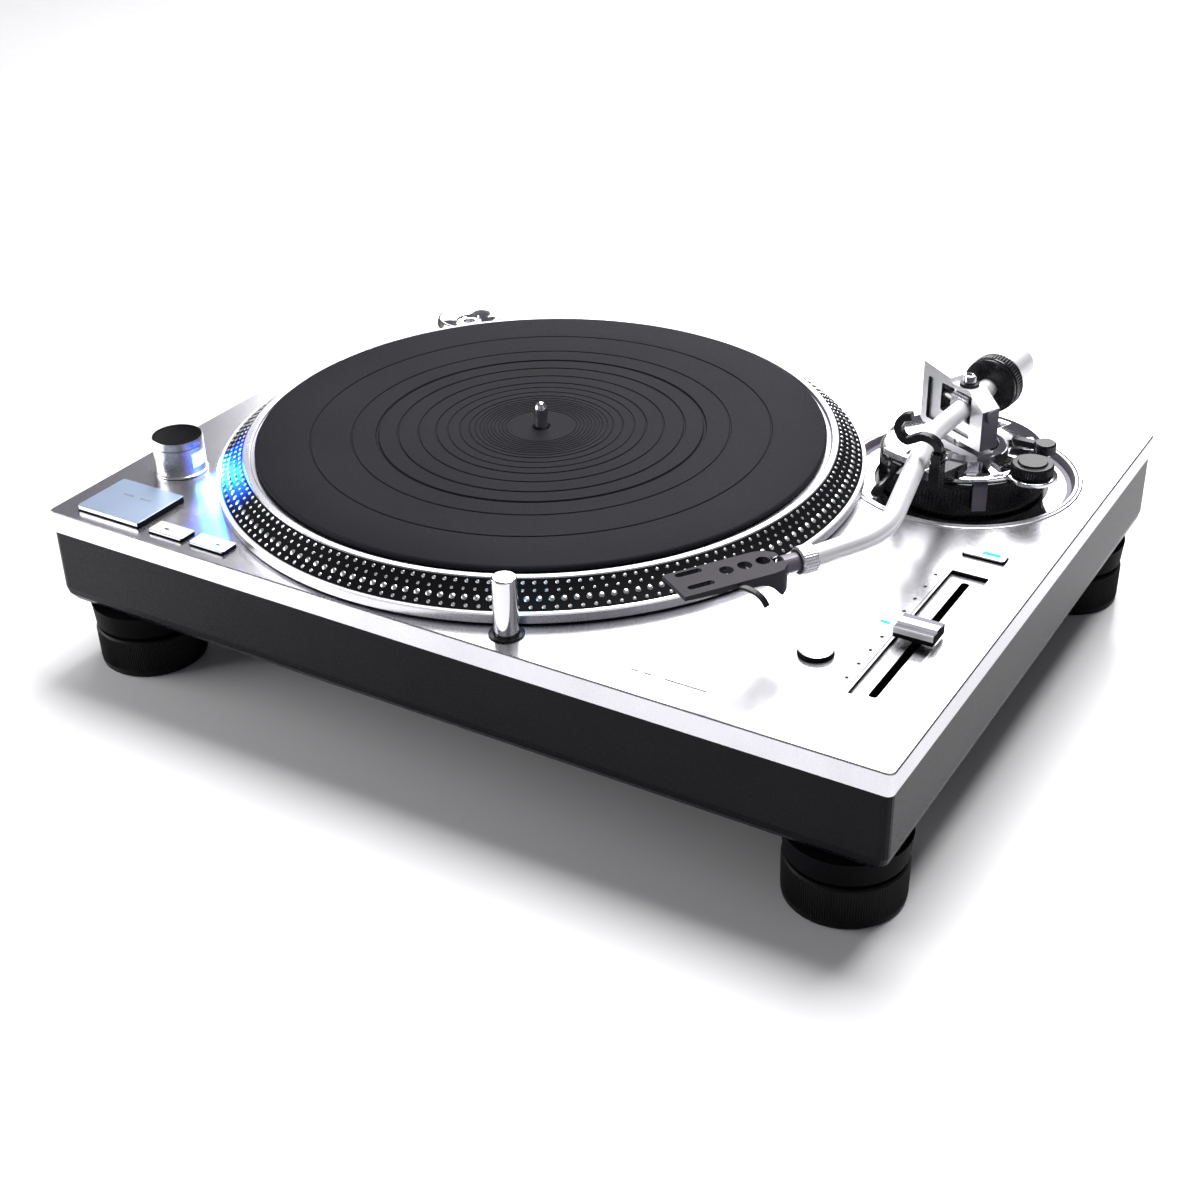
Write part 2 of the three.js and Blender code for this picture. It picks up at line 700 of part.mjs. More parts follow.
function armRest() {
  const low = BASE.plateTop + GAP;
  const pad = box(2, 12, -39.4, -27, low, low + 4);
  const side = [
    [-39.4, low],
    [-30, low],
    [-30, low + 4],
    [-40, low + 6.5],
    [rest.y1, rest.saddleTop - 1],
    [rest.y0, rest.saddleTop - 1],
    [rest.y0, rest.saddleTop - 4.5],
    [rest.y1, rest.saddleTop - 5],
    [-44.5, low + 0.4],
  ];
  const beam = place(prism(side, 3, 11), 0, 0, 0, 90, 0, 90);
  const saddle = box(-6, 15, rest.y0, rest.y1, rest.saddleTop - 4, rest.saddleTop);
  const post = box(10, 15, rest.y0, rest.y1, rest.saddleTop - 4, rest.hingeZ - 3.6);
  const fork = join(
    box(10.6, 15, rest.y0, rest.y0 + 1.6, rest.hingeZ - 4, rest.hingeZ + 1.6),
    box(10.6, 15, rest.y1 - 1.6, rest.y1, rest.hingeZ - 4, rest.hingeZ + 1.6),
  );
  return join(pad, beam, saddle, post, fork);
}

// The clamp hooks over the tube from its hinge on the right, and ends in a curled finger tab.
function armClamp() {
  const path = [
    [rest.hingeX, rest.hingeZ], [12.6, 47.6], [9.6, 50.6], [4.6, 51.4], [0.4, 49.6], [-2.8, 48], [-6, 49.8],
    [-7.6, 54.4], [-5.4, 59], [-1.2, 60.6],
  ];
  const hook = prism(band(path, 3.6), -rest.y1 + 1.9, -rest.y0 - 1.9);
  const eye = place(disc(3.2, -rest.y1 + 1.9, -rest.y0 - 1.9, 20), rest.hingeX, rest.hingeZ, 0);
  return place(join(hook, eye), 0, 0, 0, 90);
}

function antiSkateDial() {
  const low = BASE.plateTop + GAP;
  const dial = lathe([
    [0, low],
    [skate.r, low],
    [skate.r, low + 4.4],
    [skate.r - 0.8, low + 5.2],
    [skate.r - 3, low + 5.2],
    [skate.r - 3.6, low + 6.2],
    [0, low + 6.2],
  ], 20);
  return place(dial, skate.x, skate.y, 0);
}

function heightLockLever() {
  const low = BASE.plateTop + GAP;
  const hub = place(disc(lock.r, low, low + 5.4, 16), lock.x, lock.y, 0);
  const handle = key(0, 17, -2.2, 2.2, low + 1.2, low + 4.6, 1.6, 0.6);
  return join(hub, place(handle, lock.x, lock.y, 0, 0, 0, lock.turn));
}

// The cue lever turns about a level axis, and its handle slopes down over the front of the height ring.
const cue = { x: -16, y: -43.5, z: 20.5, turn: -19, slope: -30 };

function cueLever() {
  const hub = place(disc(3.2, -3, 3, 20), 0, 0, 0, 0, 90, 0);
  const stem = box(-1.6, 1.6, -17, 0, -1.4, 1.4);
  const grip = loft([-13, -22].map((y, i) => ({
    outline: roundRect(0, 0, 3.6 - i * 0.8, 2.8 - i * 0.6, 1.2, 3),
    z: -y,
  })));
  const tip = place(grip, 0, 0, 0, 90);
  return place(place(join(hub, stem, tip), 0, 0, 0, -cue.slope, 0, 0), cue.x, cue.y, cue.z, 0, 0, cue.turn);
}

function cueBracket() {
  const low = BASE.plateTop - 1;
  const block = box(-5.4, -3.5, -3, 9, low - cue.z, 3);
  const foot = box(-5.4, 4, 4.5, 9, low - cue.z, low - cue.z + 3);
  return place(join(block, foot), cue.x, cue.y, cue.z, 0, 0, cue.turn);
}

// A post that slides in the base carries a bar, curved about the arm's axis, that lifts the tube.
function liftBar() {
  const [z0, z1] = [25.4, 28.6];
  const arc = (from, to, r) =>
    Array.from({ length: 9 }, (_, i) => {
      const a = THREE.MathUtils.degToRad(from + ((to - from) * i) / 8);
      return [r * Math.sin(a), -r * Math.cos(a)];
    });
  const bar = prism([...arc(-27, 1.2, lift.barR + 1.6), ...arc(1.2, -27, lift.barR - 1.6)], z0, z1);
  const link = prism([[-16, -27], [-11, -27], [-14, -50], [-18, -49]], z0, z1 - 1);
  const post = place(disc(lift.r, 6, z1 - 1, 12), lift.x, lift.y, 0);
  return join(bar, link, post);
}

function buildArmBase() {
  add(arm, "arm_mount", armMount(), black);
  add(arm, "arm_well", armWell(), polished);
  add(arm, "height_ring", heightRing(), black);
  const postSocket = disc(5 + GAP, BASE.bossTop - 6 - GAP, BASE.bossTop + 1, 24);
  add(arm, "arm_base", cut(join(armBase(), cueBracket()), postSocket), polished);
  add(arm, "pivot_post", pivotPost(), silver);
  add(arm, "arm_rest", armRest(), black);
  add(arm, "arm_clamp", armClamp(), black);
  add(arm, "anti_skate_dial", antiSkateDial(), black);
  add(arm, "height_lock_lever", heightLockLever(), black);
  add(arm, "cue_lever", cueLever(), black);
  add(arm, "lift_bar", liftBar(), silver);
}

// ---- Gimbal: in its own group, turned so that its level axis lies square to the headshell ----
function gimbalYoke() {
  const { left, right, foot: low, high, seat, low: shoulder, half } = GIMBAL;
  const face = [
    [left, low + 2],
    [left + 2, low],
    [right, low],
    [right, shoulder],
    [6, seat],
    [-6, seat],
    [-8, seat + 2],
    [left, high],
  ];
  const upright = (corners, y0, y1) => place(prism(corners, -y1, -y0), 0, 0, 0, 90);
  const opening = (at, y0, y1) =>
    upright([[at.left, at.foot], [at.right, at.foot], [at.right, at.top], [at.left, at.top]], y0, y1);
  const block = upright(face, -half, half);
  const tunnel = opening(WINDOW, -half - 1, half + 1);
  const step = opening(RECESS, -half - 1, RECESS.deep - half);
  const bore = place(disc(2.3, left - 1, right + 1, 16), 0, 0, ARM.z, 0, 90);
  return cut(block, tunnel, step, bore);
}

function bearingCap() {
  const low = GIMBAL.seat + GAP;
  return lathe([
    [0, low],
    [5, low],
    [5, low + 1],
    [3.2, low + 1.4],
    [3.2, low + 4.6],
    [2.6, low + 5.2],
    [0, low + 5.2],
  ], 24);
}

function pivotScrew(fromX, headX, tipX) {
  const out = Math.sign(headX);
  const head = disc(3.6, 0, 1.6, 20);
  const length = Math.abs(headX - tipX);
  const shank = disc(2, -length, 0.2, 16);
  return place(join(head, shank), fromX, 0, ARM.z, 0, 90 * out);
}

function buildGimbal() {
  add(gimbal, "gimbal_yoke", gimbalYoke(), silver);
  add(gimbal, "bearing_cap", bearingCap(), polished);
  add(gimbal, "pivot_screw_right", pivotScrew(GIMBAL.right + GAP, GIMBAL.right, TRUNNION.halfX + GAP), polished);
  add(gimbal, "pivot_screw_left", pivotScrew(GIMBAL.left - GAP, GIMBAL.left, -TRUNNION.halfX - GAP), polished);
}

// ---- Arm: its tube leans a little off the deck's length, then bends twice ----
const lean = THREE.MathUtils.degToRad(ARM.lean);
const rearPoint = (u) => [u * Math.sin(lean), u * Math.cos(lean), ARM.z];
const headTurn = THREE.MathUtils.degToRad(HEAD.turn);
const bends = [
  rearPoint(WEIGHT.shaftEnd),
  [-3.1, -43.5, ARM.z - 0.1],
  [15.1, -136.1, 34.8],
  [-6.5, -168.6, HEAD.axisZ],
];

// A curve along corners, each rounded by a bend that starts and ends at the given distance from it.
function roundedPath(corners, reach) {
  const points = corners.map((c) => new THREE.Vector3(...c));
  const path = new THREE.CurvePath();
  let from = points[0];
  for (let i = 1; i + 1 < points.length; i++) {
    const before = points[i].clone().lerp(points[i - 1], reach[i - 1] / points[i].distanceTo(points[i - 1]));
    const after = points[i].clone().lerp(points[i + 1], reach[i - 1] / points[i].distanceTo(points[i + 1]));
    path.add(new THREE.LineCurve3(from, before));
    path.add(new THREE.QuadraticBezierCurve3(before, points[i], after));
    from = after;
  }
  path.add(new THREE.LineCurve3(from, points.at(-1)));
  return path;
}

// A solid built along +Z from the tube's end towards the front, laid level along the headshell's line.
function alongHead(made) {
  const [x, y, z] = bends.at(-1);
  return place(made.rotate([90, 0, 0]), x, y, z, 0, 0, -HEAD.turn);
}

// A solid built along +Z, laid along the rear shaft from the arm's axis.
const alongRear = (made) => place(made.rotate([-90, 0, 0]), 0, 0, ARM.z, 0, 0, -ARM.lean);

const armTube = () => rod(roundedPath(bends, [16, 17]), ARM.r, 12, 26);

function trunnion() {
  const { halfX, halfY, halfZ } = TRUNNION;
  const block = key(-halfX, halfX, -halfY, halfY, ARM.z - halfZ, ARM.z + halfZ, 1.5, 0.8);
  const turned = place(block, 0, 0, 0, 0, 0, GIMBAL.turn);
  return cut(turned, alongRear(disc(ARM.r + 0.25, -20, 20, 24)));
}

function counterweight() {
  const { r, start, end } = WEIGHT;
  return alongRear(lathe([
    [ARM.r + GAP, start],
    [r - 0.6, start],
    [r, start + 0.6],
    [r, end - 4.6],
    [r - 4.6, end],
    [ARM.r + GAP, end],
  ], 28));
}

function trackingDial() {
  const { r, start, dialFront } = WEIGHT;
  return alongRear(lathe([
    [ARM.r + GAP, dialFront],
    [9, dialFront],
    [r - 1.4, dialFront + 1],
    [r - 0.2, dialFront + 1.8],
    [r - 0.2, start - GAP],
    [ARM.r + GAP, start - GAP],
  ], 28));
}

function auxiliaryWeight() {
  const { auxR, auxStart, auxEnd } = WEIGHT;
  return alongRear(lathe([
    [ARM.r + GAP, auxStart],
    [auxR, auxStart],
    [auxR, auxEnd - 0.8],
    [auxR - 0.8, auxEnd],
    [ARM.r + GAP, auxEnd],
  ], 20));
}

function collarNut() {
  return alongHead(lathe([
    [ARM.r + 0.4, -2],
    [ARM.r + 1.2, -2],
    [ARM.r + 1.6, -1],
    [ARM.r + 1.6, 5],
    [ARM.r + 1.2, 6],
    [ARM.r + 0.4, 6],
  ], 20));
}

const shellPlug = () => alongHead(disc(4.3, 0.5, HEAD.plug - GAP, 24));

// The shell: distances run forward from its back, and depths run down from its top.
function headshell() {
  const { length, half, thick, top } = HEAD;
  const drop = (depth) => top - HEAD.axisZ - depth;
  const side = [
    [0, drop(0)],
    [0, drop(12.6)],
    [4.1, drop(12.6)],
    [7.6, drop(9.6)],
    [11, drop(6)],
    [14, drop(4.5)],
    [20, drop(4.4)],
    [24.7, drop(2.7)],
    [31, drop(2.6)],
    [33.4, drop(3.2)],
    [length, drop(2)],
    [length, drop(0)],
  ];
  const outline = [[0, -5.5], [4, -half + 1], [9, -half], [length, -half]];
  const plan = [...outline, ...outline.map(([s, w]) => [s, -w]).reverse()];
  const across = place(prism(side, -half - 1, half + 1), 0, 0, 0, 90);
  const body = across.intersect(prism(plan, -20, 20));
  const channel = box(4, length - 12, -half + 2, half - 2, -20, drop(thick));
  const slots = [-7, 4.4].map((w) => prism(roundRect(length - 10.7, w, 6.3, 1.6, 1.5, 2), -20, 20));
  const holes = [8.1, 17, 25.9].map((s) => place(disc(3.2, -20, 20, 12), s, -1.6, 0));
  const plugHole = place(disc(4.6, -1, 4.4, 20), 0, 0, 0, 0, 90);
  const made = cut(body, channel, ...slots, ...holes, plugHole);
  const [x, y, z] = bends.at(-1);
  const start = [x - HEAD.plug * Math.sin(headTurn), y - HEAD.plug * Math.cos(headTurn)];
  return place(made, start[0], start[1], z, 0, 0, -90 - HEAD.turn);
}

// A thin strip that leaves the shell's right side and curls down at its end.
function fingerLift() {
  const path = [[0, -0.6], [4, -0.4], [8, -0.9], [11.4, -2.6], [13.6, -5.4]];
  const strip = place(prism(band(path, 1.3), -1.3, 1.3), 0, 0, 0, 90);
  const [x, y, z] = bends.at(-1);
  const forward = HEAD.plug + 26;
  const spot = [x - forward * Math.sin(headTurn), y - forward * Math.cos(headTurn)];
  const side = HEAD.half + GAP + 0.5;
  const [dx, dy] = [side * Math.cos(headTurn), -side * Math.sin(headTurn)];
  return place(strip, spot[0] + dx, spot[1] + dy, z + 3, 0, 0, 25 - HEAD.turn);
}

function buildArm() {
  add(arm, "arm_tube", armTube(), polished);
  add(arm, "gimbal_trunnion", trunnion(), silver);
  add(arm, "counterweight", counterweight(), black);
  add(arm, "tracking_dial", trackingDial(), black);
  add(arm, "auxiliary_weight", auxiliaryWeight(), polished);
  add(arm, "collar_nut", collarNut(), polished);
  add(arm, "shell_plug", shellPlug(), black);
  add(arm, "headshell", headshell(), charcoal);
  add(arm, "finger_lift", fingerLift(), black);
}

buildChassis();
buildPlatter();
buildInside();
buildControls();
buildArmBase();
buildGimbal();
buildArm();

export default turntable;
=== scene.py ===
"""The looks of a direct-drive turntable record player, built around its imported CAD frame.

Lengths are in millimetres until a mesh is finished, and heights are above the deck's top unless a comment
says otherwise. Positions come from the boxes of the CAD nodes, and those on the tonearm are from its pivot.
Numbers in a profile are (radius, height) points.
"""

import math

import bmesh
import bpy
from mathutils import Matrix, Vector


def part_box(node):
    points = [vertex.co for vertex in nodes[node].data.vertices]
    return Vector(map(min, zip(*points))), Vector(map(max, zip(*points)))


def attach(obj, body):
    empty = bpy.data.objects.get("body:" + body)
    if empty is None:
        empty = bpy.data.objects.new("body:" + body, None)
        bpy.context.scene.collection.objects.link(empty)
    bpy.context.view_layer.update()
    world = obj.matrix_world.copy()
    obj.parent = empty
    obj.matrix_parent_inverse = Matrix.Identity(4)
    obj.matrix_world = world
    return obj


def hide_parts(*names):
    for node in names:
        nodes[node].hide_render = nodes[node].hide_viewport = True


MM = 0.001
# edges that turn by more than this are shaded sharp and take a bevel
SHARP = math.radians(32)

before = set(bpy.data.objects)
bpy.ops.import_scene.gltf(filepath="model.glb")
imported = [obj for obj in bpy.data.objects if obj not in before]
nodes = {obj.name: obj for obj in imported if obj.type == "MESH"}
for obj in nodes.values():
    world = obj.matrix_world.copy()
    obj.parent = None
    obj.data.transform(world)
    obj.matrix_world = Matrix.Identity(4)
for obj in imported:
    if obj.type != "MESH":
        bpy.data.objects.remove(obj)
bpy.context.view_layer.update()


def centre(name):
    """The middle of a CAD node's box, in millimetres."""
    low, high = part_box(name)
    return (low + high) / 2 / MM


DECK_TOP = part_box("top_plate")[1].z / MM
PLATTER = centre("platter")
PIVOT = centre("pivot_post")
KNOB = centre("power_dial")
# the strobe's window faces this far clockwise of the platter's middle, in degrees
WINDOW_ASIDE = 22
WINDOW_TURN = math.degrees(math.atan2(PLATTER.y - KNOB.y, PLATTER.x - KNOB.x)) - WINDOW_ASIDE


# ---- Materials ----
# sockets of a Mix node set to colour, whose names aren't unique
MIX_SHARE, MIX_DARK, MIX_LIGHT = 0, 6, 7
MIX_RESULT = 2
# the middle of a noise, where nearly all its values lie
NOISE_LOW, NOISE_HIGH = 0.3, 0.7


def new_material(name):
    made = bpy.data.materials.new(name)
    made.use_nodes = True
    made.node_tree.nodes.clear()
    return made


def node(tree, kind, **settings):
    """Adds a node. A setting goes to the input of that name, or else to the node's own property."""
    made = tree.nodes.new(kind)
    for key, value in settings.items():
        if key in made.inputs:
            made.inputs[key].default_value = value
        else:
            setattr(made, key, value)
    return made


def noise(tree, coordinates, scale, detail):
    """Noise with about `scale` cells per metre."""
    made = node(tree, "ShaderNodeTexNoise", Scale=scale, Detail=detail)
    tree.links.new(coordinates, made.inputs["Vector"])
    return made.outputs["Fac"]


def spread(tree, value, low, high):
    """Takes the middle of a noise to the range low to high."""
    made = node(tree, "ShaderNodeMapRange")
    limits = {"From Min": NOISE_LOW, "From Max": NOISE_HIGH, "To Min": low, "To Max": high}
    for socket, limit in limits.items():
        made.inputs[socket].default_value = limit
    tree.links.new(value, made.inputs["Value"])
    return made.outputs["Result"]


def surface(name, dark, light, rough, metal=0.0, grain=4000, bump=0.1, height=0.02, blotch=25, specular=0.5,
            glow=0.0):
    """A finish whose colour drifts slowly, with a fine grain in its roughness and its bump.

    dark and light are the ends of the colour, and rough holds the ends of the roughness. blotch and grain
    are in cells per metre, and height is the grain's depth in millimetres. glow is the strength of its light.
    """
    made = new_material(name)
    tree = made.node_tree
    place = node(tree, "ShaderNodeTexCoord").outputs["Object"]
    shader = node(tree, "ShaderNodeBsdfPrincipled", Metallic=metal)
    shader.inputs["Specular IOR Level"].default_value = specular
    slow = noise(tree, place, blotch, 3.0)
    fine = noise(tree, place, grain, 2.0)
    mixed = node(tree, "ShaderNodeMix", data_type="RGBA")
    mixed.inputs[MIX_DARK].default_value = (*dark, 1)
    mixed.inputs[MIX_LIGHT].default_value = (*light, 1)
    tree.links.new(spread(tree, slow, 0, 1), mixed.inputs[MIX_SHARE])
    tree.links.new(mixed.outputs[MIX_RESULT], shader.inputs["Base Color"])
    tree.links.new(spread(tree, fine, *rough), shader.inputs["Roughness"])
    relief = node(tree, "ShaderNodeBump", Strength=bump, Distance=height * MM)
    tree.links.new(fine, relief.inputs["Height"])
    tree.links.new(relief.outputs["Normal"], shader.inputs["Normal"])
    if glow:
        tree.links.new(mixed.outputs[MIX_RESULT], shader.inputs["Emission Color"])
        shader.inputs["Emission Strength"].default_value = glow
    output = node(tree, "ShaderNodeOutputMaterial")
    tree.links.new(shader.outputs["BSDF"], output.inputs["Surface"])
    return made


blasted = surface("blasted_aluminium", (0.70, 0.69, 0.73), (0.78, 0.77, 0.81), (0.20, 0.30), 1.0,
                  grain=2600, bump=0.18, height=0.03)
brushed_rings = surface("turned_rings", (0.50, 0.50, 0.54), (0.62, 0.62, 0.66), (0.24, 0.36), 1.0,
                        grain=2500, bump=0.05)
polished = surface("polished_metal", (0.80, 0.80, 0.82), (0.88, 0.88, 0.90), (0.05, 0.12), 1.0,
                   grain=900, bump=0.02, height=0.01)
satin = surface("satin_metal", (0.74, 0.74, 0.77), (0.84, 0.84, 0.87), (0.24, 0.34), 1.0,
                grain=3000, bump=0.08)
soft_satin = surface("soft_satin_metal", (0.78, 0.78, 0.80), (0.88, 0.88, 0.90), (0.36, 0.48), 1.0,
                     grain=3000, bump=0.08)
# satin metal tinted blue: a painted reflection of the strobe's blue light, used on the start key's top
blue_reflection_satin = surface("blue_reflection_satin_metal", (0.42, 0.53, 0.70), (0.50, 0.60, 0.78), (0.36, 0.48), 1.0,
                     grain=3000, bump=0.08)
bright_metal = surface("bright_satin_metal", (0.86, 0.86, 0.88), (0.93, 0.93, 0.95), (0.34, 0.46), 0.55,
                       grain=3000, bump=0.06)
casting = surface("chassis_finish", (0.0045, 0.0044, 0.0062), (0.0072, 0.0070, 0.0096), (0.20, 0.30),
                  grain=1800, bump=0.15, height=0.03, specular=0.09)
rubber = surface("mat_rubber", (0.0072, 0.0068, 0.0095), (0.0110, 0.0104, 0.0138), (0.60, 0.76),
                 grain=2200, bump=0.35, height=0.05, blotch=9, specular=0.09)
foot_rubber = surface("foot_rubber", (0.003, 0.003, 0.0035), (0.006, 0.006, 0.0065), (0.40, 0.58),
                      grain=1500, bump=0.3, height=0.05, specular=0.14)
enamel = surface("black_enamel", (0.004, 0.004, 0.005), (0.008, 0.008, 0.009), (0.18, 0.30), grain=1500,
                 bump=0.08, specular=0.35)
matt_black = surface("matt_black", (0.003, 0.003, 0.0035), (0.005, 0.005, 0.006), (0.50, 0.64), grain=1800,
                     bump=0.1, specular=0.04)
plastic = surface("black_plastic", (0.010, 0.010, 0.012), (0.017, 0.017, 0.020), (0.28, 0.42), grain=2000,
                  bump=0.2, specular=0.3)
shell_coat = surface("shell_coat", (0.030, 0.028, 0.034), (0.042, 0.039, 0.047), (0.46, 0.60), grain=2600,
                     bump=0.2, specular=0.10)
grey_metal = surface("grey_metal", (0.11, 0.10, 0.13), (0.16, 0.15, 0.18), (0.36, 0.48), 0.3, grain=2600,
                     bump=0.1, specular=0.3)
copper = surface("copper_windings", (0.50, 0.22, 0.10), (0.72, 0.36, 0.18), (0.25, 0.42), 1.0, grain=1400,
                 bump=0.5, height=0.2)
board = surface("circuit_board", (0.012, 0.10, 0.05), (0.02, 0.16, 0.08), (0.30, 0.45), grain=900, bump=0.15)
blue_glow = surface("blue_lens", (0.10, 0.50, 1.0), (0.30, 0.76, 1.0), (0.10, 0.20), grain=900, bump=0.02,
                    glow=7.0)
cyan_glow = surface("cyan_lens", (0.01, 0.62, 0.68), (0.03, 0.72, 0.78), (0.40, 0.50), grain=900, bump=0.02,
                    specular=0.05, glow=0.8)
ink = surface("printed_ink", (0.02, 0.02, 0.025), (0.04, 0.04, 0.045), (0.60, 0.75), grain=4000, bump=0.1,
              specular=0.05)
pale_ink = surface("pale_ink", (0.20, 0.21, 0.26), (0.27, 0.28, 0.33), (0.60, 0.75), grain=4000, bump=0.1,
                   specular=0.05)


# ---- Shapes ----
# a corner's round takes at most this share of each side beside it
CORNER_SHARE = 0.45
# vertices nearer to each other than this are joined before a bevel
WELD_GAP = 0.002


def at(x, y, z=0.0):
    return Matrix.Translation((x, y, z))


def turn(degrees, axis):
    return Matrix.Rotation(math.radians(degrees), 4, axis)


def on_deck(point, z=0.0):
    """The place of a solid whose own heights are above the deck's top."""
    return at(point.x, point.y, DECK_TOP + z)


def curve(start, corner, end, steps):
    """Points of a smooth curve that leaves start towards the corner and comes to end from it."""
    made = []
    for k in range(steps + 1):
        t = k / steps
        made.append(start * (1 - t) ** 2 + corner * 2 * t * (1 - t) + end * t * t)
    return made


def fillet(points, reach, steps=3, closed=False):
    """Rounds the corners of a line of 2D points; a corner's round starts at most `reach` away from it."""
    made = []
    for i, point in enumerate(points):
        if not closed and i in (0, len(points) - 1):
            made.append(tuple(point))
            continue
        before, corner, after = (Vector(points[k]) for k in (i - 1, i, (i + 1) % len(points)))
        near = min(reach, (before - corner).length * CORNER_SHARE, (after - corner).length * CORNER_SHARE)
        start = corner + (before - corner).normalized() * near
        end = corner + (after - corner).normalized() * near
        made += [tuple(point) for point in curve(start, corner, end, steps)]
    return made


def round_rect(x0, x1, y0, y1, r, steps=5):
    """The outline of a rectangle with rounded corners, anticlockwise."""
    corners = [(x1, y1, 0), (x0, y1, 90), (x0, y0, 180), (x1, y0, 270)]
    middle_x, middle_y = (x0 + x1) / 2, (y0 + y1) / 2
    made = []
    for x, y, first in corners:
        cx = x + math.copysign(r, middle_x - x)
        cy = y + math.copysign(r, middle_y - y)
        for k in range(steps + 1):
            a = math.radians(first + 90 * k / steps)
            made.append((cx + r * math.cos(a), cy + r * math.sin(a)))
    return made


def direction(line, i):
    """The way a line of points runs at its point i."""
    return (line[min(i + 1, len(line) - 1)] - line[max(i - 1, 0)]).normalized()


class Solid:
    """Closed shapes in millimetres, gathered in one mesh. Each shape has a material's index and a place."""

    def __init__(self, *materials):
        self.bm = bmesh.new()
        self.materials = materials

    def shape(self, points, faces, paint=0, place=Matrix()):
        """Adds one closed shape. paint is one material's index, or a list with one for each face."""
        made = [self.bm.verts.new(place @ Vector(p)) for p in points]
        for k, corners in enumerate(faces):
            face = self.bm.faces.new([made[i] for i in corners])
            face.material_index = paint[k] if isinstance(paint, list) else paint
            face.smooth = True
        return self

    def lathe(self, profile, place=Matrix(), sides=96, paint=0, ribs=0, rib_depth=0.0, rib_from=0,
              rib_to=0):
        """Turns a profile of (radius, z) points, anticlockwise in that plane, about Z.

        paint is one index, or one for each profile edge. Rings rib_from to rib_to of the profile are cut
        into ribs: every other point is pushed in by rib_depth.
        """
        sides = ribs * 2 if ribs else sides
        rings, points = [], []
        for i, (r, z) in enumerate(profile):
            if r == 0:
                rings.append([len(points)] * sides)
                points.append((0, 0, z))
                continue
            rings.append(list(range(len(points), len(points) + sides)))
            for k in range(sides):
                a = 2 * math.pi * k / sides
                push = rib_depth if ribs and rib_from <= i <= rib_to and k % 2 else 0
                points.append(((r - push) * math.cos(a), (r - push) * math.sin(a), z))
        on_axis = profile[0][0] == 0 and profile[-1][0] == 0
        faces, paints = [], []
        for i in range(len(profile) - (1 if on_axis else 0)):
            low, high = rings[i], rings[(i + 1) % len(profile)]
            for k in range(sides):
                n = (k + 1) % sides
                corners = list(dict.fromkeys((low[k], low[n], high[n], high[k])))
                if len(corners) > 2:
                    faces.append(corners)
                    paints.append(paint[i] if isinstance(paint, list) else paint)
        return self.shape(points, faces, paints, place)

    def prism(self, outline, z0, z1, place=Matrix(), paint=0):
        """An outline taken up from z0 to z1. Its faces are the bottom, the top, then one for each side."""
        n = len(outline)
        points = [(x, y, z0) for x, y in outline] + [(x, y, z1) for x, y in outline]
        sides = [(i, (i + 1) % n, n + (i + 1) % n, n + i) for i in range(n)]
        faces = [tuple(reversed(range(n))), tuple(range(n, 2 * n)), *sides]
        return self.shape(points, faces, paint, place)

    def box(self, x0, x1, y0, y1, z0, z1, place=Matrix(), paint=0):
        return self.prism([(x0, y0), (x1, y0), (x1, y1), (x0, y1)], z0, z1, place, paint)

    def sweep(self, line, radii, sides=32, place=Matrix(), paint=0):
        """A round bar along 3D points, with a radius at each point and flat ends."""
        points, faces = [], []
        normal = None
        for i, p in enumerate(line):
            ahead = direction(line, i)
            if normal is None:
                normal = ahead.orthogonal().normalized()
            normal = (normal - ahead * normal.dot(ahead)).normalized()
            across = ahead.cross(normal)
            for k in range(sides):
                a = 2 * math.pi * k / sides
                points.append(p + (normal * math.cos(a) + across * math.sin(a)) * radii[i])
        for i in range(len(line) - 1):
            for k in range(sides):
                n = (k + 1) % sides
                faces.append((i * sides + k, i * sides + n, (i + 1) * sides + n, (i + 1) * sides + k))
        last = (len(line) - 1) * sides
        faces.append(tuple(reversed(range(sides))))
        faces.append(tuple(range(last, last + sides)))
        return self.shape(points, faces, paint, place)

    def object(self, name):
        """The shapes so far as a Blender object."""
        data = bpy.data.meshes.new(name)
        self.bm.to_mesh(data)
        for made in self.materials:
            data.materials.append(made)
        made = bpy.data.objects.new(name, data)
        bpy.context.scene.collection.objects.link(made)
        return made

    def cut(self, *tools):
        """This solid with the tools' shapes cut out of it."""
        whole = self.object("whole")
        others = [tool.object("tool") for tool in tools]
        for other in others:
            modifier = whole.modifiers.new("cut", "BOOLEAN")
            modifier.object = other
            modifier.operation = "DIFFERENCE"
            modifier.solver = "EXACT"
        depsgraph = bpy.context.evaluated_depsgraph_get()
        data = bpy.data.meshes.new_from_object(whole.evaluated_get(depsgraph))
        made = Solid(*self.materials)
        made.bm.from_mesh(data)
        for other in (whole, *others):
            bpy.data.objects.remove(other)
        return made


def soften(obj, width, segments=2):
    """Rounds an object's edges by a small bevel, in millimetres."""
    modifier = obj.modifiers.new("edges", "BEVEL")
    modifier.width = width * MM
    modifier.segments = segments
    modifier.limit_method = "ANGLE"
    modifier.angle_limit = SHARP
    modifier.harden_normals = True


def piece(name, solid, body, replaced=(), bevel=0.0):
    """Shows a solid on a body, under the given name, in place of the CAD nodes it replaces."""
    bmesh.ops.scale(solid.bm, vec=(MM,) * 3, verts=solid.bm.verts)
    made = solid.object(name)
    made.data.set_sharp_from_angle(angle=SHARP)
    if bevel:
        soften(made, bevel)
    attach(made, body)
    if replaced:
        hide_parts(*replaced)
    return made


def keep(name, material, bevel=0.0):
    """Shows a CAD node with a finished material, its edges rounded by a small bevel."""
    obj = nodes[name]
    obj.data.materials.clear()
    obj.data.materials.append(material)
    if bevel:
        weld = obj.modifiers.new("weld", "WELD")
        weld.merge_threshold = WELD_GAP * MM
        soften(obj, bevel)


# ---- Chassis and feet ----
def build_chassis():
    keep("top_plate", blasted)
    keep("chassis_tray", casting)
    keep("base_cover", plastic)


FOOT_R = 27.6
FOOT_TOP = 21
# the foot's wall is ribbed where it is wider than this
FOOT_RIB_FROM_R = 27.35
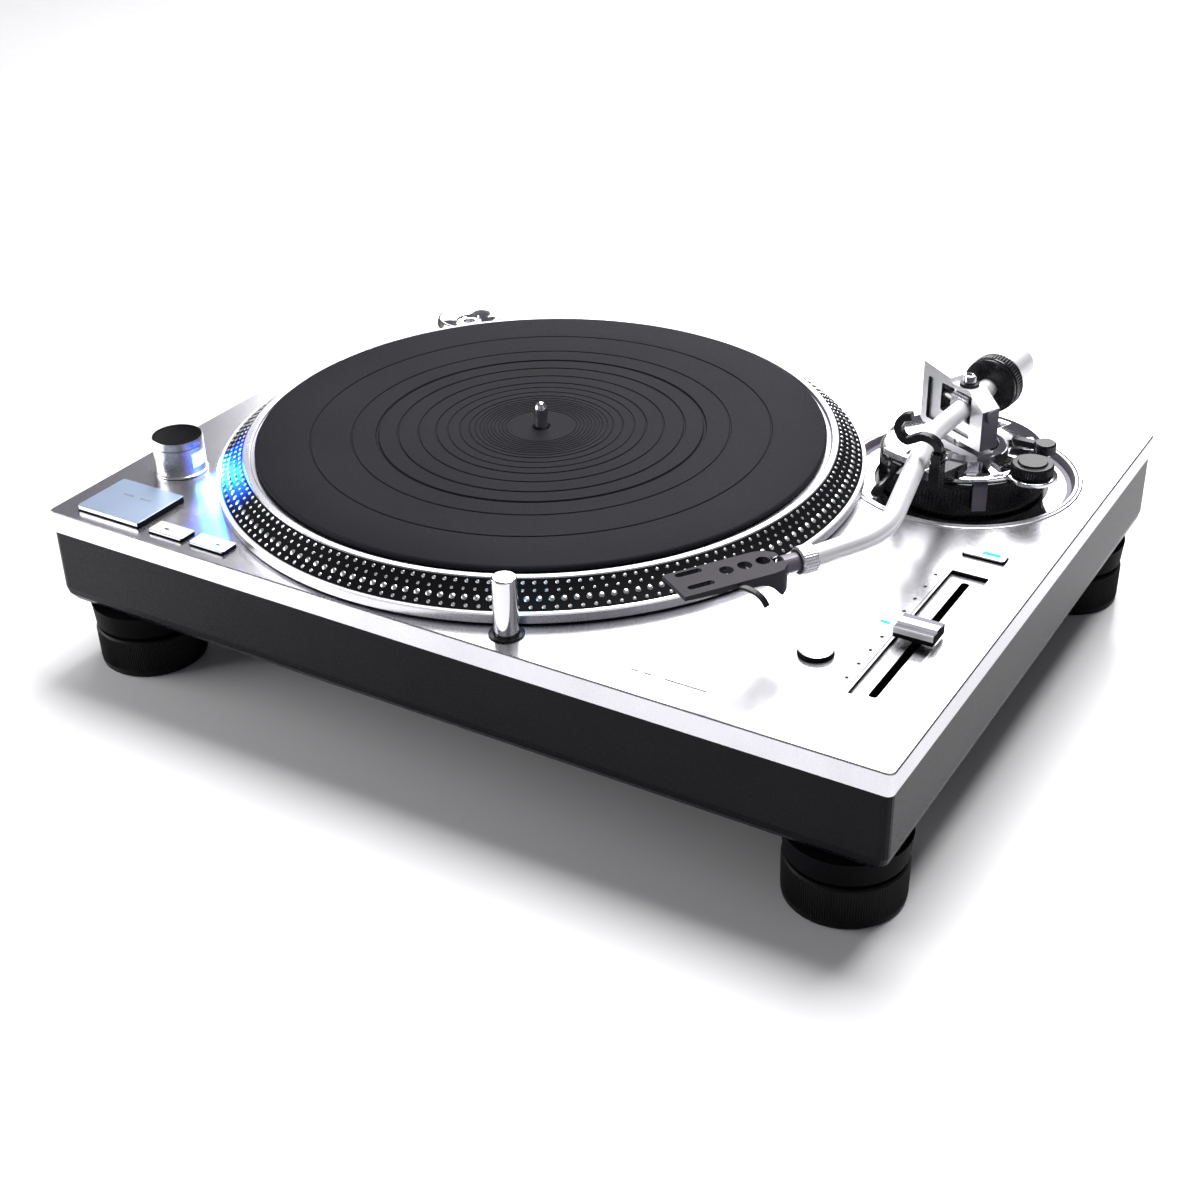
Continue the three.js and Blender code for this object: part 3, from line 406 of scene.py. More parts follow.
# the stem that the foot slides on
STEM_R = 8
STEM_TOP = 34.4
COLLAR_BORE = 8.4
COLLAR_FOOT = 23
COLLAR_POCKET = 24.5


def build_feet():
    """Heights here are above the floor."""
    collar_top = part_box("foot_collar_front_left")[1].z / MM
    foot_profile = [(0, 0), *fillet([(24, 0), (27.1, 0), (27.3, 3)], 1.6, 4), (27.4, 3.6), (FOOT_R, 19.4),
                    (27.2, 20.2), (26.4, FOOT_TOP), (STEM_R, FOOT_TOP), (STEM_R, STEM_TOP), (0, STEM_TOP)]
    collar_profile = [(COLLAR_BORE, COLLAR_POCKET), (23.6, COLLAR_POCKET), (23.6, COLLAR_FOOT),
                      (26.4, COLLAR_FOOT), (27.0, 23.4), (27.15, 24.6), (27.9, collar_top - 1.2),
                      (28.1, collar_top), (COLLAR_BORE, collar_top)]
    ribbed = [i for i, (r, z) in enumerate(foot_profile) if r > FOOT_RIB_FROM_R and z < FOOT_TOP - 1]
    for where in ("front_left", "front_right", "rear_left", "rear_right"):
        spot = centre(f"foot_{where}")
        place = at(spot.x, spot.y)
        foot = Solid(foot_rubber)
        foot.lathe(foot_profile, place, ribs=150, rib_depth=0.45, rib_from=ribbed[0], rib_to=ribbed[-1])
        piece(f"levelling_foot_{where}", foot, f"foot_{where}", [f"foot_{where}"])
        collar = Solid(matt_black).lathe(collar_profile, place, sides=128)
        piece(f"collar_{where}", collar, "chassis", [f"foot_collar_{where}"])


# ---- Platter ----
# the black slope that holds the dots
BEVEL_LOW = Vector((164.3, 6.1))
BEVEL_HIGH = Vector((152.2, 15.9))
# rows of dots up the slope: how far up, dots in the row, dot radius
DOT_ROWS = [(0.13, 176, 0.86), (0.38, 180, 1.34), (0.64, 184, 0.74), (0.88, 190, 0.86)]
DOT_HEIGHT = 0.45
DOT_SUNK = 0.3


def dot_cap(solid, place, radius, paint):
    """A low round stud, its foot sunk a little in what it stands on."""
    profile = [(0, -DOT_SUNK), (radius, -DOT_SUNK), (radius, 0.1), (radius * 0.7, DOT_HEIGHT * 0.8),
               (0, DOT_HEIGHT)]
    solid.lathe(profile, place, sides=12, paint=paint)


def build_platter():
    low = [(0, 2.9), (70, 2.9), (74, 7.4), (148, 7.4), (153, 1.3), (165.8, 0.8), (166.5, 1.4), (166.5, 5.4),
           (165.9, 6.0), (164.6, 6.0)]
    bevel = [tuple(BEVEL_LOW), tuple(BEVEL_HIGH)]
    high = [(151.7, 16.4), (148.9, 16.4), (148.3, 16.0), (148.0, 15.0), (0, 15.0)]
    rings, black, smooth_metal, bright = 0, 1, 2, 3
    platter = Solid(brushed_rings, matt_black, satin, bright_metal)
    wall, slope_edge = 6, len(low)
    edges = {wall: smooth_metal, wall + 1: bright, wall + 2: bright, slope_edge: black}
    paint = [edges.get(k, rings) for k in range(len(low) + len(high) + 1)]
    place = on_deck(PLATTER)
    platter.lathe(low + bevel + high, place, sides=288, paint=paint)
    slope = math.degrees(math.atan2(BEVEL_HIGH.y - BEVEL_LOW.y, BEVEL_LOW.x - BEVEL_HIGH.x))
    for share, count, radius in DOT_ROWS:
        spot = BEVEL_LOW.lerp(BEVEL_HIGH, share)
        for k in range(count):
            cap = place @ turn(360 * k / count, "Z") @ at(spot.x, 0, spot.y) @ turn(slope, "Y")
            dot_cap(platter, cap, radius, smooth_metal)
    piece("platter_disc", platter, "platter", ["platter"])


# radius, half width and depth of each groove in the mat
GROOVES = [(118, 0.6, 0.5), (97, 0.6, 0.5), (84, 1.0, 0.9), (73.5, 0.7, 0.6), (63, 0.6, 0.5), (54, 0.6, 0.5),
           (48, 0.5, 0.4), (42, 0.5, 0.4), (37, 0.5, 0.4), (34, 0.4, 0.3)]
FINE_GROOVES = [(31.5 - 1.9 * k, 0.4, 0.3) for k in range(8)]
MAT_FOOT = 15.3
MAT_TOP = 18.5
PIN_R = 3.5
PIN_FOOT = -34
PIN_TOP = 32


def build_mat():
    top = []
    for radius, half, depth in GROOVES + FINE_GROOVES:
        top += [(radius + half, MAT_TOP), (radius + half * 0.5, MAT_TOP - depth),
                (radius - half * 0.5, MAT_TOP - depth), (radius - half, MAT_TOP)]
    edge = [(145.2, MAT_FOOT), (146, MAT_FOOT + 0.8), (146, MAT_TOP - 1.1), (145.5, MAT_TOP - 0.4),
            (144.6, MAT_TOP)]
    profile = [(4.2, MAT_FOOT), *edge, *top, (4.9, MAT_TOP), (4.2, MAT_TOP - 0.6)]
    piece("rubber_mat", Solid(rubber).lathe(profile, on_deck(PLATTER), sides=256), "mat",
          ["platter_mat"])


def build_spindle():
    """The spindle, and the motor and the bearing below the platter."""
    tip = fillet([(PIN_R, 27), (3.1, 29.4), (1.9, 31.4), (0, PIN_TOP)], 1.5, 4)[1:-1]
    pin = [(0, PIN_FOOT), (PIN_R, PIN_FOOT), (PIN_R, 26.4), *tip, (0, PIN_TOP)]
    piece("spindle_pin", Solid(polished).lathe(pin, on_deck(PLATTER), sides=48), "platter",
          ["spindle"])
    keep("rotor_magnet", enamel)
    keep("motor_stator", copper)
    keep("bearing_housing", satin)


# ---- Controls on the deck ----
KNOB_R = 13
# how far a key goes down below the deck's top, and where its metal strip starts above it
KEY_FOOT = -8
STRIP_FOOT = 0.9


def build_knob():
    """The dial, and the barrel it turns on, with the strobe's window cut in its side."""
    place = on_deck(KNOB)
    window = Solid(satin).box(6, 16, -6, 6, 5, 12.5, place @ turn(WINDOW_TURN, "Z"))
    barrel = [(0, -18), (8.4, -18), (8.4, 0.3), (13.7, 0.3), (13.7, 1.1), (13.1, 1.5), (KNOB_R, 2),
              (KNOB_R, 14.9), (12.7, 15.2), (0, 15.2)]
    housing = Solid(satin).lathe(barrel, place, sides=128).cut(window)
    piece("knob_barrel", housing, "chassis", ["strobe_housing"])
    dial = [(0, 15.5), (12.8, 15.5), (KNOB_R, 15.7), (KNOB_R, 18.9), (12.6, 19.5), (11.8, 19.5), (11.2, 19.1),
            (6, 18.3), (0, 18.0)]
    black, metal = 0, 1
    cap = Solid(matt_black, satin)
    cap.lathe(dial, place, sides=128, paint=[black] + [metal] * 3 + [black] * 4)
    piece("dial_cap", cap, "power_dial", ["power_dial"])
    keep("strobe_lens", blue_glow)


def key_cap(node_name, body, top_finish=soft_satin):
    """A press button: a black block with a metal top and a metal strip along its front."""
    low, high = (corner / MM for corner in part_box(node_name))
    top = high.z - DECK_TOP
    face, black, strip = 0, 1, 2
    key = Solid(top_finish, matt_black, soft_satin)
    place = at(0, 0, DECK_TOP)
    outline = round_rect(low.x, high.x, low.y, high.y, 1)
    key.prism(outline, KEY_FOOT, top, place, paint=[face, face] + [black] * len(outline))
    key.box(low.x + 0.8, high.x - 0.8, low.y - 0.08, low.y + 1, STRIP_FOOT, top - 0.2, place, paint=strip)
    piece(f"{body}_key", key, body, [node_name], bevel=0.2)


def build_buttons():
    # the start key's top is tinted blue, a painted reflection of the strobe's blue light
    key_cap("start_stop_button", "start_stop", blue_reflection_satin)
    key_cap("speed_33_button", "speed_33")
    key_cap("speed_45_button", "speed_45")
    key_cap("reset_button", "reset")
    low, high = (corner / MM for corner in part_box("lamp_button"))
    r = (high.x - low.x) / 2
    top = high.z - DECK_TOP
    profile = [(0, KEY_FOOT), (r, KEY_FOOT), (r, top - 0.6), (r - 0.2, top - 0.15), (r - 0.7, top),
               (r - 1.4, top - 0.2), (0, top - 0.5)]
    metal, black = 0, 1
    button = Solid(satin, matt_black)
    button.lathe(profile, on_deck((low + high) / 2), sides=72, paint=[black] * 3 + [metal] * 3)
    piece("round_button", button, "lamp_release", ["lamp_button"])


# how far a printed mark goes into its face and stands out of it
INK_SUNK = 0.05
INK_HIGH = 0.06
START_TOP = 3
SPEED_TOP = 2
# the marks along the deck's front edge: the middle of each, and its length
FRONT_MARKS = [(101.5, 4), (107.5, 4), (126, 20)]
FRONT_MARKS_Y = -156.5
# the pitch scale, measured from the fader's middle
SCALE_X = -13.8
SCALE_STEP = 12.3
SCALE_DOTS_A_SIDE = 4
SCALE_DOT_R = 0.9


def marks(name, body, spots, material, height):
    """Flat printed bars: x, y, length along X, width along Y, on a face at the given height."""
    made = Solid(material)
    for x, y, length, width in spots:
        outline = round_rect(x - length / 2, x + length / 2, y - width / 2, y + width / 2, width * 0.3, 2)
        made.prism(outline, DECK_TOP + height - INK_SUNK, DECK_TOP + height + INK_HIGH)
    piece(name, made, body)


def build_key_marks():
    start = centre("start_stop_button")
    bars = [(start.x - 5, start.y + 4, 7, 1.5), (start.x + 6, start.y + 4, 7, 1.5)]
    marks("start_marks", "start_stop", bars, pale_ink, START_TOP)
    for name, body, aside in (("speed_33_button", "speed_33", -2.4), ("speed_45_button", "speed_45", 4)):
        spot = centre(name)
        marks(f"{body}_mark", body, [(spot.x + aside, spot.y - 0.5, 2.6, 1.1)], ink, SPEED_TOP)


def build_deck_marks():
    fader = centre("fader_bezel")
    dots = Solid(ink)
    dot = [(0, -INK_SUNK), (SCALE_DOT_R, -INK_SUNK), (SCALE_DOT_R, INK_HIGH), (0, INK_HIGH)]
    for k in range(-SCALE_DOTS_A_SIDE, SCALE_DOTS_A_SIDE + 1):
        if k:
            dots.lathe(dot, on_deck(fader + Vector((SCALE_X, SCALE_STEP * k + 1, 0))), sides=20)
    piece("scale_dots", dots, "chassis")
    led = Solid(cyan_glow)
    led.prism(round_rect(-2.4, 2.4, -0.9, 0.9, 0.7), -0.1, 0.12, on_deck(fader + Vector((-17.5, 0.8, 0))))
    piece("centre_led", led, "chassis")
    marks("front_marks", "chassis", [(x, FRONT_MARKS_Y, length, 1) for x, length in FRONT_MARKS], pale_ink, 0)
    reset = centre("reset_button")
    patch = Solid(cyan_glow).prism(round_rect(-4.6, 4.0, -1.4, 1.4, 0.5), 1.55, 1.68,
                                   on_deck(reset + Vector((3.2, 0.6, 0))))
    piece("reset_light", patch, "reset")


FADER_SLOT_HALF = 53.5
FADER_KNOB_HALF = 9.3


def build_fader():
    low, high = (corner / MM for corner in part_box("fader_bezel"))
    spot = (low + high) / 2
    half = (high - low) / 2
    block = round_rect(-half.x, half.x, -half.y, half.y, 1)
    well = round_rect(1 - half.x, half.x - 1, 1 - half.y, half.y - 1, 0.8)
    slit = round_rect(-2, 2, -FADER_SLOT_HALF, FADER_SLOT_HALF, 1.5)
    metal, dark = 0, 1
    bezel = Solid(satin, matt_black).prism(block, low.z - DECK_TOP, -0.2, on_deck(spot))
    recess = Solid(satin, matt_black)
    # the walls of the recess and of the slot are painted black as shade
    recess.prism(well, -2.4, 1, on_deck(spot), paint=[metal, metal] + [dark] * len(well))
    slot = Solid(satin, matt_black).prism(slit, -14, 0, on_deck(spot), paint=dark)
    piece("fader_tray", bezel.cut(recess, slot), "chassis", ["fader_bezel"])
    side = [(-6.7, 1.2), (6.7, 1.2), (6.7, 5.8), (6.3, 6.4), (2.7, 5.9), (2.2, 7.0), (1.9, 7.2), (-1.9, 7.2),
            (-2.2, 7.0), (-2.7, 5.9), (-6.2, 6.4), (-6.7, 5.8), (-6.7, 3.4)]
    bright, black, grey = 0, 1, 2
    # the slopes either side of the ridge are painted grey as shade, and the lower part of the front face
    # black as the shadow under the knob
    along = [black, black, bright, grey, bright, bright, bright, bright, bright, grey, bright, bright, black]
    knob = Solid(bright_metal, matt_black, grey_metal)
    knob_spot = centre("fader_knob")
    knob.prism(side, -FADER_KNOB_HALF, FADER_KNOB_HALF, on_deck(knob_spot) @ turn(90, "Z") @ turn(90, "X"),
               paint=[black, black] + along)
    knob.box(-1.4, 1.4, -3, 3, -13, 2, on_deck(knob_spot), paint=black)
    piece("fader_cap", knob, "pitch_fader", ["fader_knob"], bevel=0.2)


LAMP_R = 5.7
LAMP_TOP = 29


def build_lamp():
    place = on_deck(centre("lamp_post"))
    tip = fillet([(LAMP_R, 25), (LAMP_R, LAMP_TOP), (0, LAMP_TOP)], 0.9, 4)[1:-1]
    profile = [(0, -6), (LAMP_R, -6), *tip, (0, LAMP_TOP)]
    slit = Solid(polished).box(-2.3, 2.3, 4.1, 7, 4, 26, place)
    column = Solid(polished).lathe(profile, place, sides=96).cut(slit)
    piece("lamp_column", column, "stylus_lamp", ["lamp_post"])
    keep("lamp_lens", blue_glow)
    sleeve = [(6.0, -16), (7.0, -16), (7.0, 0.3), (8.1, 0.3), (8.1, 0.6), (7.9, 0.8), (6.0, 0.8)]
    piece("lamp_collar", Solid(enamel).lathe(sleeve, place, sides=96), "chassis",
          ["lamp_sleeve"])


ADAPTOR_R = 19
ADAPTOR_BORE = 3.7


def build_adaptor():
    spot = centre("record_adaptor")
    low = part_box("record_adaptor")[0].z / MM - DECK_TOP
    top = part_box("record_adaptor")[1].z / MM - DECK_TOP
    profile = [(ADAPTOR_BORE, low), (18.4, low), (ADAPTOR_R, low + 0.6), (ADAPTOR_R, top - 1.5),
               (18.6, top - 0.5), (17.5, top), (16.6, top - 0.1), (8.4, top - 1.7), (7.6, top - 2.0),
               (7, top - 3), (ADAPTOR_BORE, top - 3)]
    disc = Solid(polished).lathe(profile, on_deck(spot), sides=128)
    piece("adaptor_disc", disc, "adaptor", ["record_adaptor"])


def build_back():
    keep("power_transformer", copper)
    keep("control_board", board)
    keep("power_inlet", plastic, 0.2)
    keep("phono_panel", plastic, 0.2)
    keep("ground_post", polished, 0.2)


# ---- Tonearm base ----
def build_well():
    place = on_deck(PIVOT)
    keep("arm_mount", enamel)
    ring = [(43.5, -5.3), (59.6, -5.3), (59.6, 0.3), (59.2, 0.55), (58.3, 0.55), (58.0, 0.2), (57.6, 0.15),
            (57.3, 0.5), (56.2, 0.5), (55.8, 0.1), (54.6, -3.2), (52.3, -4.0), (43.5, -4.0)]
    metal, bright, black, grey = 0, 1, 2, 3
    trim = Solid(satin, polished, matt_black, grey_metal)
    # the well's inner slope, below the rings, is painted dark grey as shade
    trim.lathe(ring, place, sides=192, paint=[metal] * 5 + [black] + [metal] * 3 + [grey] * 2 + [bright] * 2)
    piece("trim_ring", trim, "chassis", ["arm_well"])
    knurled = [(36, -3), (40.9, -3), (41.5, -2.4), (41.5, -1.6), (41.4, -1.2), (41.4, 11.6), (41.5, 12),
               (41.4, 12.8), (40.7, 13.7), (39.9, 14), (36, 14)]
    piece("knurled_ring", Solid(enamel).lathe(knurled, place, ribs=140, rib_depth=0.4, rib_from=4, rib_to=5),
          "height_ring", ["height_ring"])


# the anti-skate dial and the height lock, the index tab's direction, the cue lever's pin and directions
SKATE = Vector((40.5, -15, 0))
LOCK = Vector((38.5, 9, 0))
INDEX_TURN = 32.0
CUE = Vector((-16, -43.5, 20.5))
CUE_TURN = -19
CUE_RISE = 30
LOCK_TURN = 180
DIAL_FOOT = 16.8
# windows through the base's top: direction, half widths outside and inside, distances outside and inside
BASE_WINDOWS = [(64, 7, 4.4, 33, 22), (118, 7, 4.4, 33, 22), (172, 7, 4.4, 33, 22), (226, 7, 4.4, 33, 22),
                (28, 9, 6, 33.5, 21)]
WINDOW_FOOT = 10.5


def base_window(place, degrees, half_out, half_in, far, near):
    outline = fillet([(-half_out, -far), (half_out, -far), (half_in, -near), (-half_in, -near)], 1.4, 3, True)
    return Solid(polished).prism(outline, WINDOW_FOOT, 18.5, place @ turn(degrees, "Z"))


def build_arm_base():
    place = on_deck(PIVOT)
    body = [(0, -24), (35.3, -24), (35.3, 14.3), (39.4, 14.3), (39.4, 15.7), (39.2, 16.2), (38.7, 16.5),
            (21.5, 16.5), (20.2, 16.7), (17.6, 17.9), (16.6, 18.2), (5.3, 18.2), (5.3, 11.9), (0, 11.9)]
    base = Solid(polished, grey_metal).lathe(body, place, sides=160)
    for spot, r in ((SKATE, 12.5), (LOCK, 8)):
        base.lathe([(0, 14.35), (r, 14.35), (r, 15.7), (r - 0.2, 16.2), (r - 0.7, 16.4), (0, 16.4)],
                   place @ at(spot.x, spot.y), sides=72)
    windows = [base_window(place, *values) for values in BASE_WINDOWS]
    lift_hole = Solid(polished)
    lift_hole.lathe([(0, 4), (2.7, 4), (2.7, 19), (0, 19)], place @ at(-13.5, -28.5), sides=32)
    base = base.cut(*windows, lift_hole)
    tab = place @ turn(INDEX_TURN, "Z")
    grey = 1
    base.box(-3.4, 3.4, -43.4, -38.6, 14.4, 16.3, tab, paint=grey)
    base.box(-3.4, 3.4, -43.4, -42, 1, 16.3, tab, paint=grey)
    bracket = place @ at(*CUE) @ turn(CUE_TURN, "Z")
    base.box(-5.4, -3.5, -3, 9, -5, 3, bracket)
    base.box(-5.4, 4, 4.5, 9, -5, -2, bracket)
    piece("base_casting", base, "arm_base", ["arm_base"], bevel=0.25)
    keep("pivot_post", satin)
    keep("arm_rest", enamel, 0.4)


def build_skate_dial():
    r, low = 10.4, DIAL_FOOT
    profile = [(0, low), (r - 0.3, low), (r, low + 0.4), (r, low + 0.7), (r, low + 4.0), (r, low + 4.4),
               (r - 0.8, low + 5.2), (r - 3, low + 5.2), (r - 3.3, low + 5.5), (r - 3.6, low + 6.2),
               (0, low + 6.2)]
    place = on_deck(PIVOT) @ at(SKATE.x, SKATE.y)
    dial = Solid(enamel).lathe(profile, place, ribs=48, rib_depth=0.5, rib_from=3, rib_to=4)
    piece("skate_dial", dial, "anti_skate", ["anti_skate_dial"])


def build_levers():
    place = on_deck(PIVOT)
    low = DIAL_FOOT
    lever = Solid(enamel)
    hub = place @ at(LOCK.x, LOCK.y)
    boss = [(0, low), (5.2, low), (5.5, low + 0.3), (5.5, low + 4.8), (4.9, low + 5.4), (0, low + 5.4)]
    lever.lathe(boss, hub, sides=48)
    lever.prism(round_rect(1, 17, -2.2, 2.2, 1.6), low + 1.2, low + 4.6, hub @ turn(LOCK_TURN, "Z"))
    piece("lock_lever", lever, "height_lock", ["height_lock_lever"], bevel=0.3)
    cue = Solid(enamel)
    arm = place @ at(*CUE) @ turn(CUE_TURN, "Z") @ turn(CUE_RISE, "X")
    cue.lathe([(0, -3), (3, -3), (3.2, -2.8), (3.2, 2.8), (3, 3), (0, 3)], arm @ turn(90, "Y"), sides=40)
    stalk = [Vector((0, -0.5 - k, 0)) for k in (0, 8, 13, 15, 18, 21, 21.4)]
    cue.sweep(stalk, [1.5, 1.5, 1.6, 2.5, 2.6, 2.1, 1.4], 24, arm)
    piece("cue_handle", cue, "cue_lever", ["cue_lever"])
    keep("lift_bar", satin, 0.3)


def smooth(points, steps):
    """A Catmull-Rom line through points, as steps + 1 points."""
    made = []
    spans = len(points) - 1
    for i in range(steps + 1):
        t = i / steps * spans
        k = min(int(t), spans - 1)
        t -= k
        a, b, c, d = (points[min(max(j, 0), spans)] for j in (k - 1, k, k + 1, k + 2))
        made.append(0.5 * (2 * b + (c - a) * t + (2 * a - 5 * b + 4 * c - d) * t ** 2
                           + (3 * b - a - 3 * c + d) * t ** 3))
    return made


BAND_STEPS = 40


def band(points, thick):
    """The outline of a flat band of even thickness along a smooth line of 2D points."""
    line = smooth([Vector((x, y, 0)) for x, y in points], BAND_STEPS)
    right, left = [], []
    for i, p in enumerate(line):
        ahead = direction(line, i)
        across = Vector((-ahead.y, ahead.x, 0)) * thick / 2
        right.append(((p - across).x, (p - across).y))
        left.append(((p + across).x, (p + across).y))
    return right + left[::-1]


# the clamp's hook seen from the front, from its pin at the first point to its tip
CLAMP_LINE = [(12.8, 43.6), (12.6, 47.6), (9.6, 50.6), (4.6, 51.4), (0.4, 49.6), (-2.8, 48), (-6, 49.8),
              (-7.6, 54.4), (-5.4, 59), (-1.2, 60.6)]
CLAMP_NEAR, CLAMP_FAR = 68.9, 73.1
CLAMP_THICK = 3.7
CLAMP_PIN_R = 3.2


def build_clamp():
    """Depths are in front of the pivot."""
    place = on_deck(PIVOT) @ turn(90, "X")
    clamp = Solid(enamel)
    clamp.prism(band(CLAMP_LINE, CLAMP_THICK), CLAMP_NEAR, CLAMP_FAR, place)
    pin = [(0, CLAMP_NEAR), (CLAMP_PIN_R, CLAMP_NEAR), (CLAMP_PIN_R, CLAMP_FAR), (0, CLAMP_FAR)]
    clamp.lathe(pin, place @ at(*CLAMP_LINE[0]), sides=40)
    piece("clamp_hook", clamp, "arm_clamp", ["arm_clamp"], bevel=0.5)


# ---- Gimbal and arm ----
AXIS_Z = 38.0
GIMBAL_TURN = -28.0
REAR_LEAN = 4.0
HEAD_TURN = 33.5
TUBE_R = 4.9
# the bore of all that sits on the tube's rear end
TUBE_BORE = 5.2
# the yoke's back and front, then its sides from the left foot round: its right side is painted dark grey as
# shade
YOKE_SHADED_PAINT = [0, 0, 0, 0, 2, 0, 0, 0, 0, 0]


def build_gimbal():
    place = on_deck(PIVOT) @ turn(GIMBAL_TURN, "Z")
    upright = place @ turn(90, "X")
    black = 1
    face = [(-28, 22), (-26, 20), (17, 20), (17, 41), (6, 48.5), (-6, 48.5), (-8, 50.5), (-28, 53)]
    yoke = Solid(soft_satin, enamel, grey_metal).prism(face, -5.4, 5.4, upright, paint=YOKE_SHADED_PAINT)
    through = round_rect(-16, 8.4, 30, 44.8, 1)
    step = round_rect(-24, 8.4, 23.5, 46, 1)
    # the walls of the tunnel and of the front step are painted black as shade
    tunnel = Solid(soft_satin, enamel).prism(through, -7, 7, upright, paint=black)
    front_step = Solid(soft_satin, enamel).prism(step, 3.4, 7, upright, paint=[0, 0] + [black] * len(step))
    bore = Solid(soft_satin).lathe([(0, -29), (2.3, -29), (2.3, 18), (0, 18)],
                                   place @ at(0, 0, AXIS_Z) @ turn(90, "Y"), sides=32)
    piece("gimbal_frame", yoke.cut(tunnel, front_step, bore), "gimbal", ["gimbal_yoke"],
          bevel=0.35)
    cap = [(0, 48.8), (5, 48.8), (5, 49.5), (4.7, 49.8), (3.4, 50.1), (3.2, 50.6), (3.2, 53.1), (2.8, 53.8),
           (2.0, 54.0), (1.8, 53.4), (0, 53.4)]
    nut = Solid(polished, enamel)
    nut.lathe(cap, on_deck(PIVOT), sides=48, paint=[black] * 5 + [0] * 4 + [black])
    piece("bearing_nut", nut, "gimbal", ["bearing_cap"])
    # the right screw is painted dark grey as shade, the left one satin
    keep("pivot_screw_right", grey_metal, 0.2)
    keep("pivot_screw_left", satin, 0.2)
    keep("gimbal_trunnion", satin, 0.3)


def along_rear():
    """The place of a part on the tube's rear: its own Z runs back along the tube from the pivot."""
    return on_deck(PIVOT) @ at(0, 0, AXIS_Z) @ turn(-REAR_LEAN, "Z") @ turn(-90, "X")


TUBE_REAR = 67
LEAN = math.radians(REAR_LEAN)
REAR_END = Vector((TUBE_REAR * math.sin(LEAN), TUBE_REAR * math.cos(LEAN), AXIS_Z))
TUBE_END = Vector((-6.5, -168.6, 32))
# the tube's centre line from rear to front, and how far from its inner corners each bend starts
TUBE_CORNERS = [REAR_END, Vector((-3.1, -43.5, 37.9)), Vector((15.1, -136.1, 34.8)), TUBE_END]
TUBE_BENDS = [16, 17]
BEND_STEPS = 12


def along_head():
    """The place of a part on the tube's front: its own Z runs forward along the headshell's axis."""
    return on_deck(PIVOT) @ at(*TUBE_END) @ turn(-HEAD_TURN, "Z") @ turn(90, "X")


def tube_line():
    made = [TUBE_CORNERS[0]]
    for i, reach in enumerate(TUBE_BENDS, 1):
        corner = TUBE_CORNERS[i]
        start = corner + (TUBE_CORNERS[i - 1] - corner).normalized() * reach
        end = corner + (TUBE_CORNERS[i + 1] - corner).normalized() * reach
        made += curve(start, corner, end, BEND_STEPS)
    return made + [TUBE_CORNERS[-1]]


def build_tube():
    line = tube_line()
    tube = Solid(bright_metal).sweep(line, [TUBE_R] * len(line), 48, on_deck(PIVOT))
    piece("arm_pipe", tube, "arm", ["arm_tube"], bevel=0.3)


def build_on_tube():
    place = along_rear()
    weight = [(TUBE_BORE, 27), (13.6, 27), (14.1, 27.3), (14.3, 27.8), (14.3, 28.4), (14.3, 33.6),
              (14.3, 34.2), (13.9, 34.9), (10.4, 38.4), (9.7, 39), (TUBE_BORE, 39)]
    piece("weight", Solid(enamel).lathe(weight, place, ribs=60, rib_depth=0.5, rib_from=4, rib_to=5),
          "counterweight", ["counterweight"])
    dial = [(TUBE_BORE, 23), (9, 23), (12.7, 24), (13.6, 24.3), (14.0, 24.9), (14.0, 26.3), (13.8, 26.7),
            (TUBE_BORE, 26.7)]
    piece("force_dial", Solid(enamel).lathe(dial, place, sides=96), "tracking_dial",
          ["tracking_dial"])
    auxiliary = [(TUBE_BORE, 43), (7.4, 43), (7.8, 43.4), (7.8, 44.6), (7.4, 45), (7.4, 45.6), (7.8, 46),
                 (7.8, 62.2), (7.2, 63), (TUBE_BORE, 63)]
    piece("rear_weight", Solid(bright_metal).lathe(auxiliary, place, sides=96), "arm",
          ["auxiliary_weight"])
    nut = [(5.3, -2), (6.0, -2), (6.4, -1.4), (6.5, -0.6), (6.5, 4.6), (6.4, 5.4), (6.0, 6), (5.3, 6)]
    collar = Solid(satin).lathe(nut, along_head(), ribs=36, rib_depth=0.3, rib_from=3, rib_to=4)
    piece("locking_collar", collar, "collar_nut", ["collar_nut"])


# the headshell starts this far past the tube's end, and runs along its own X
HEAD_START = 14.0
SHELL_LENGTH = 52
SHELL_HALF = 10.2
SHELL_THICK = 2.4
SHELL_TOP = 4
SHELL_HOLES = [8.1, 17, 25.9]
SHELL_HOLE_R = 3.2
# the two slots' middles across the shell, and their half width
SLOT_MIDDLES = [-7, 4.4]
SLOT_HALF = 1.6
SOCKET_R = 4.6
# how far the cutting shapes reach past the shell
BEYOND = 20
# the shell seen from its side: a flat top at SHELL_TOP, and a skirt that hangs down at the socket's end
SHELL_SIDE = [(0, 4), (0, -8.6), (4.1, -8.6), (5.4, -7.8), (7.4, -5.6), (9.4, -3.4), (12, -1.6), (15, -0.7),
              (20, -0.4), (24.7, 1.3), (31, 1.4), (33.4, 0.8), (52, 2), (52, 4)]


def shell_sides(place):
    """What is left outside the shell's outline seen from above, on both sides of it."""
    made = Solid(shell_coat)
    past = SHELL_LENGTH + 2
    for s in (-1, 1):
        corner = [(-2, -30 * s), (-2, -5.5 * s), (0, -5.5 * s), (4, (1 - SHELL_HALF) * s),
                  (9, -SHELL_HALF * s), (past, -SHELL_HALF * s), (past, -30 * s)]
        made.prism(corner if s < 0 else corner[::-1], -BEYOND, BEYOND, place)
    return made


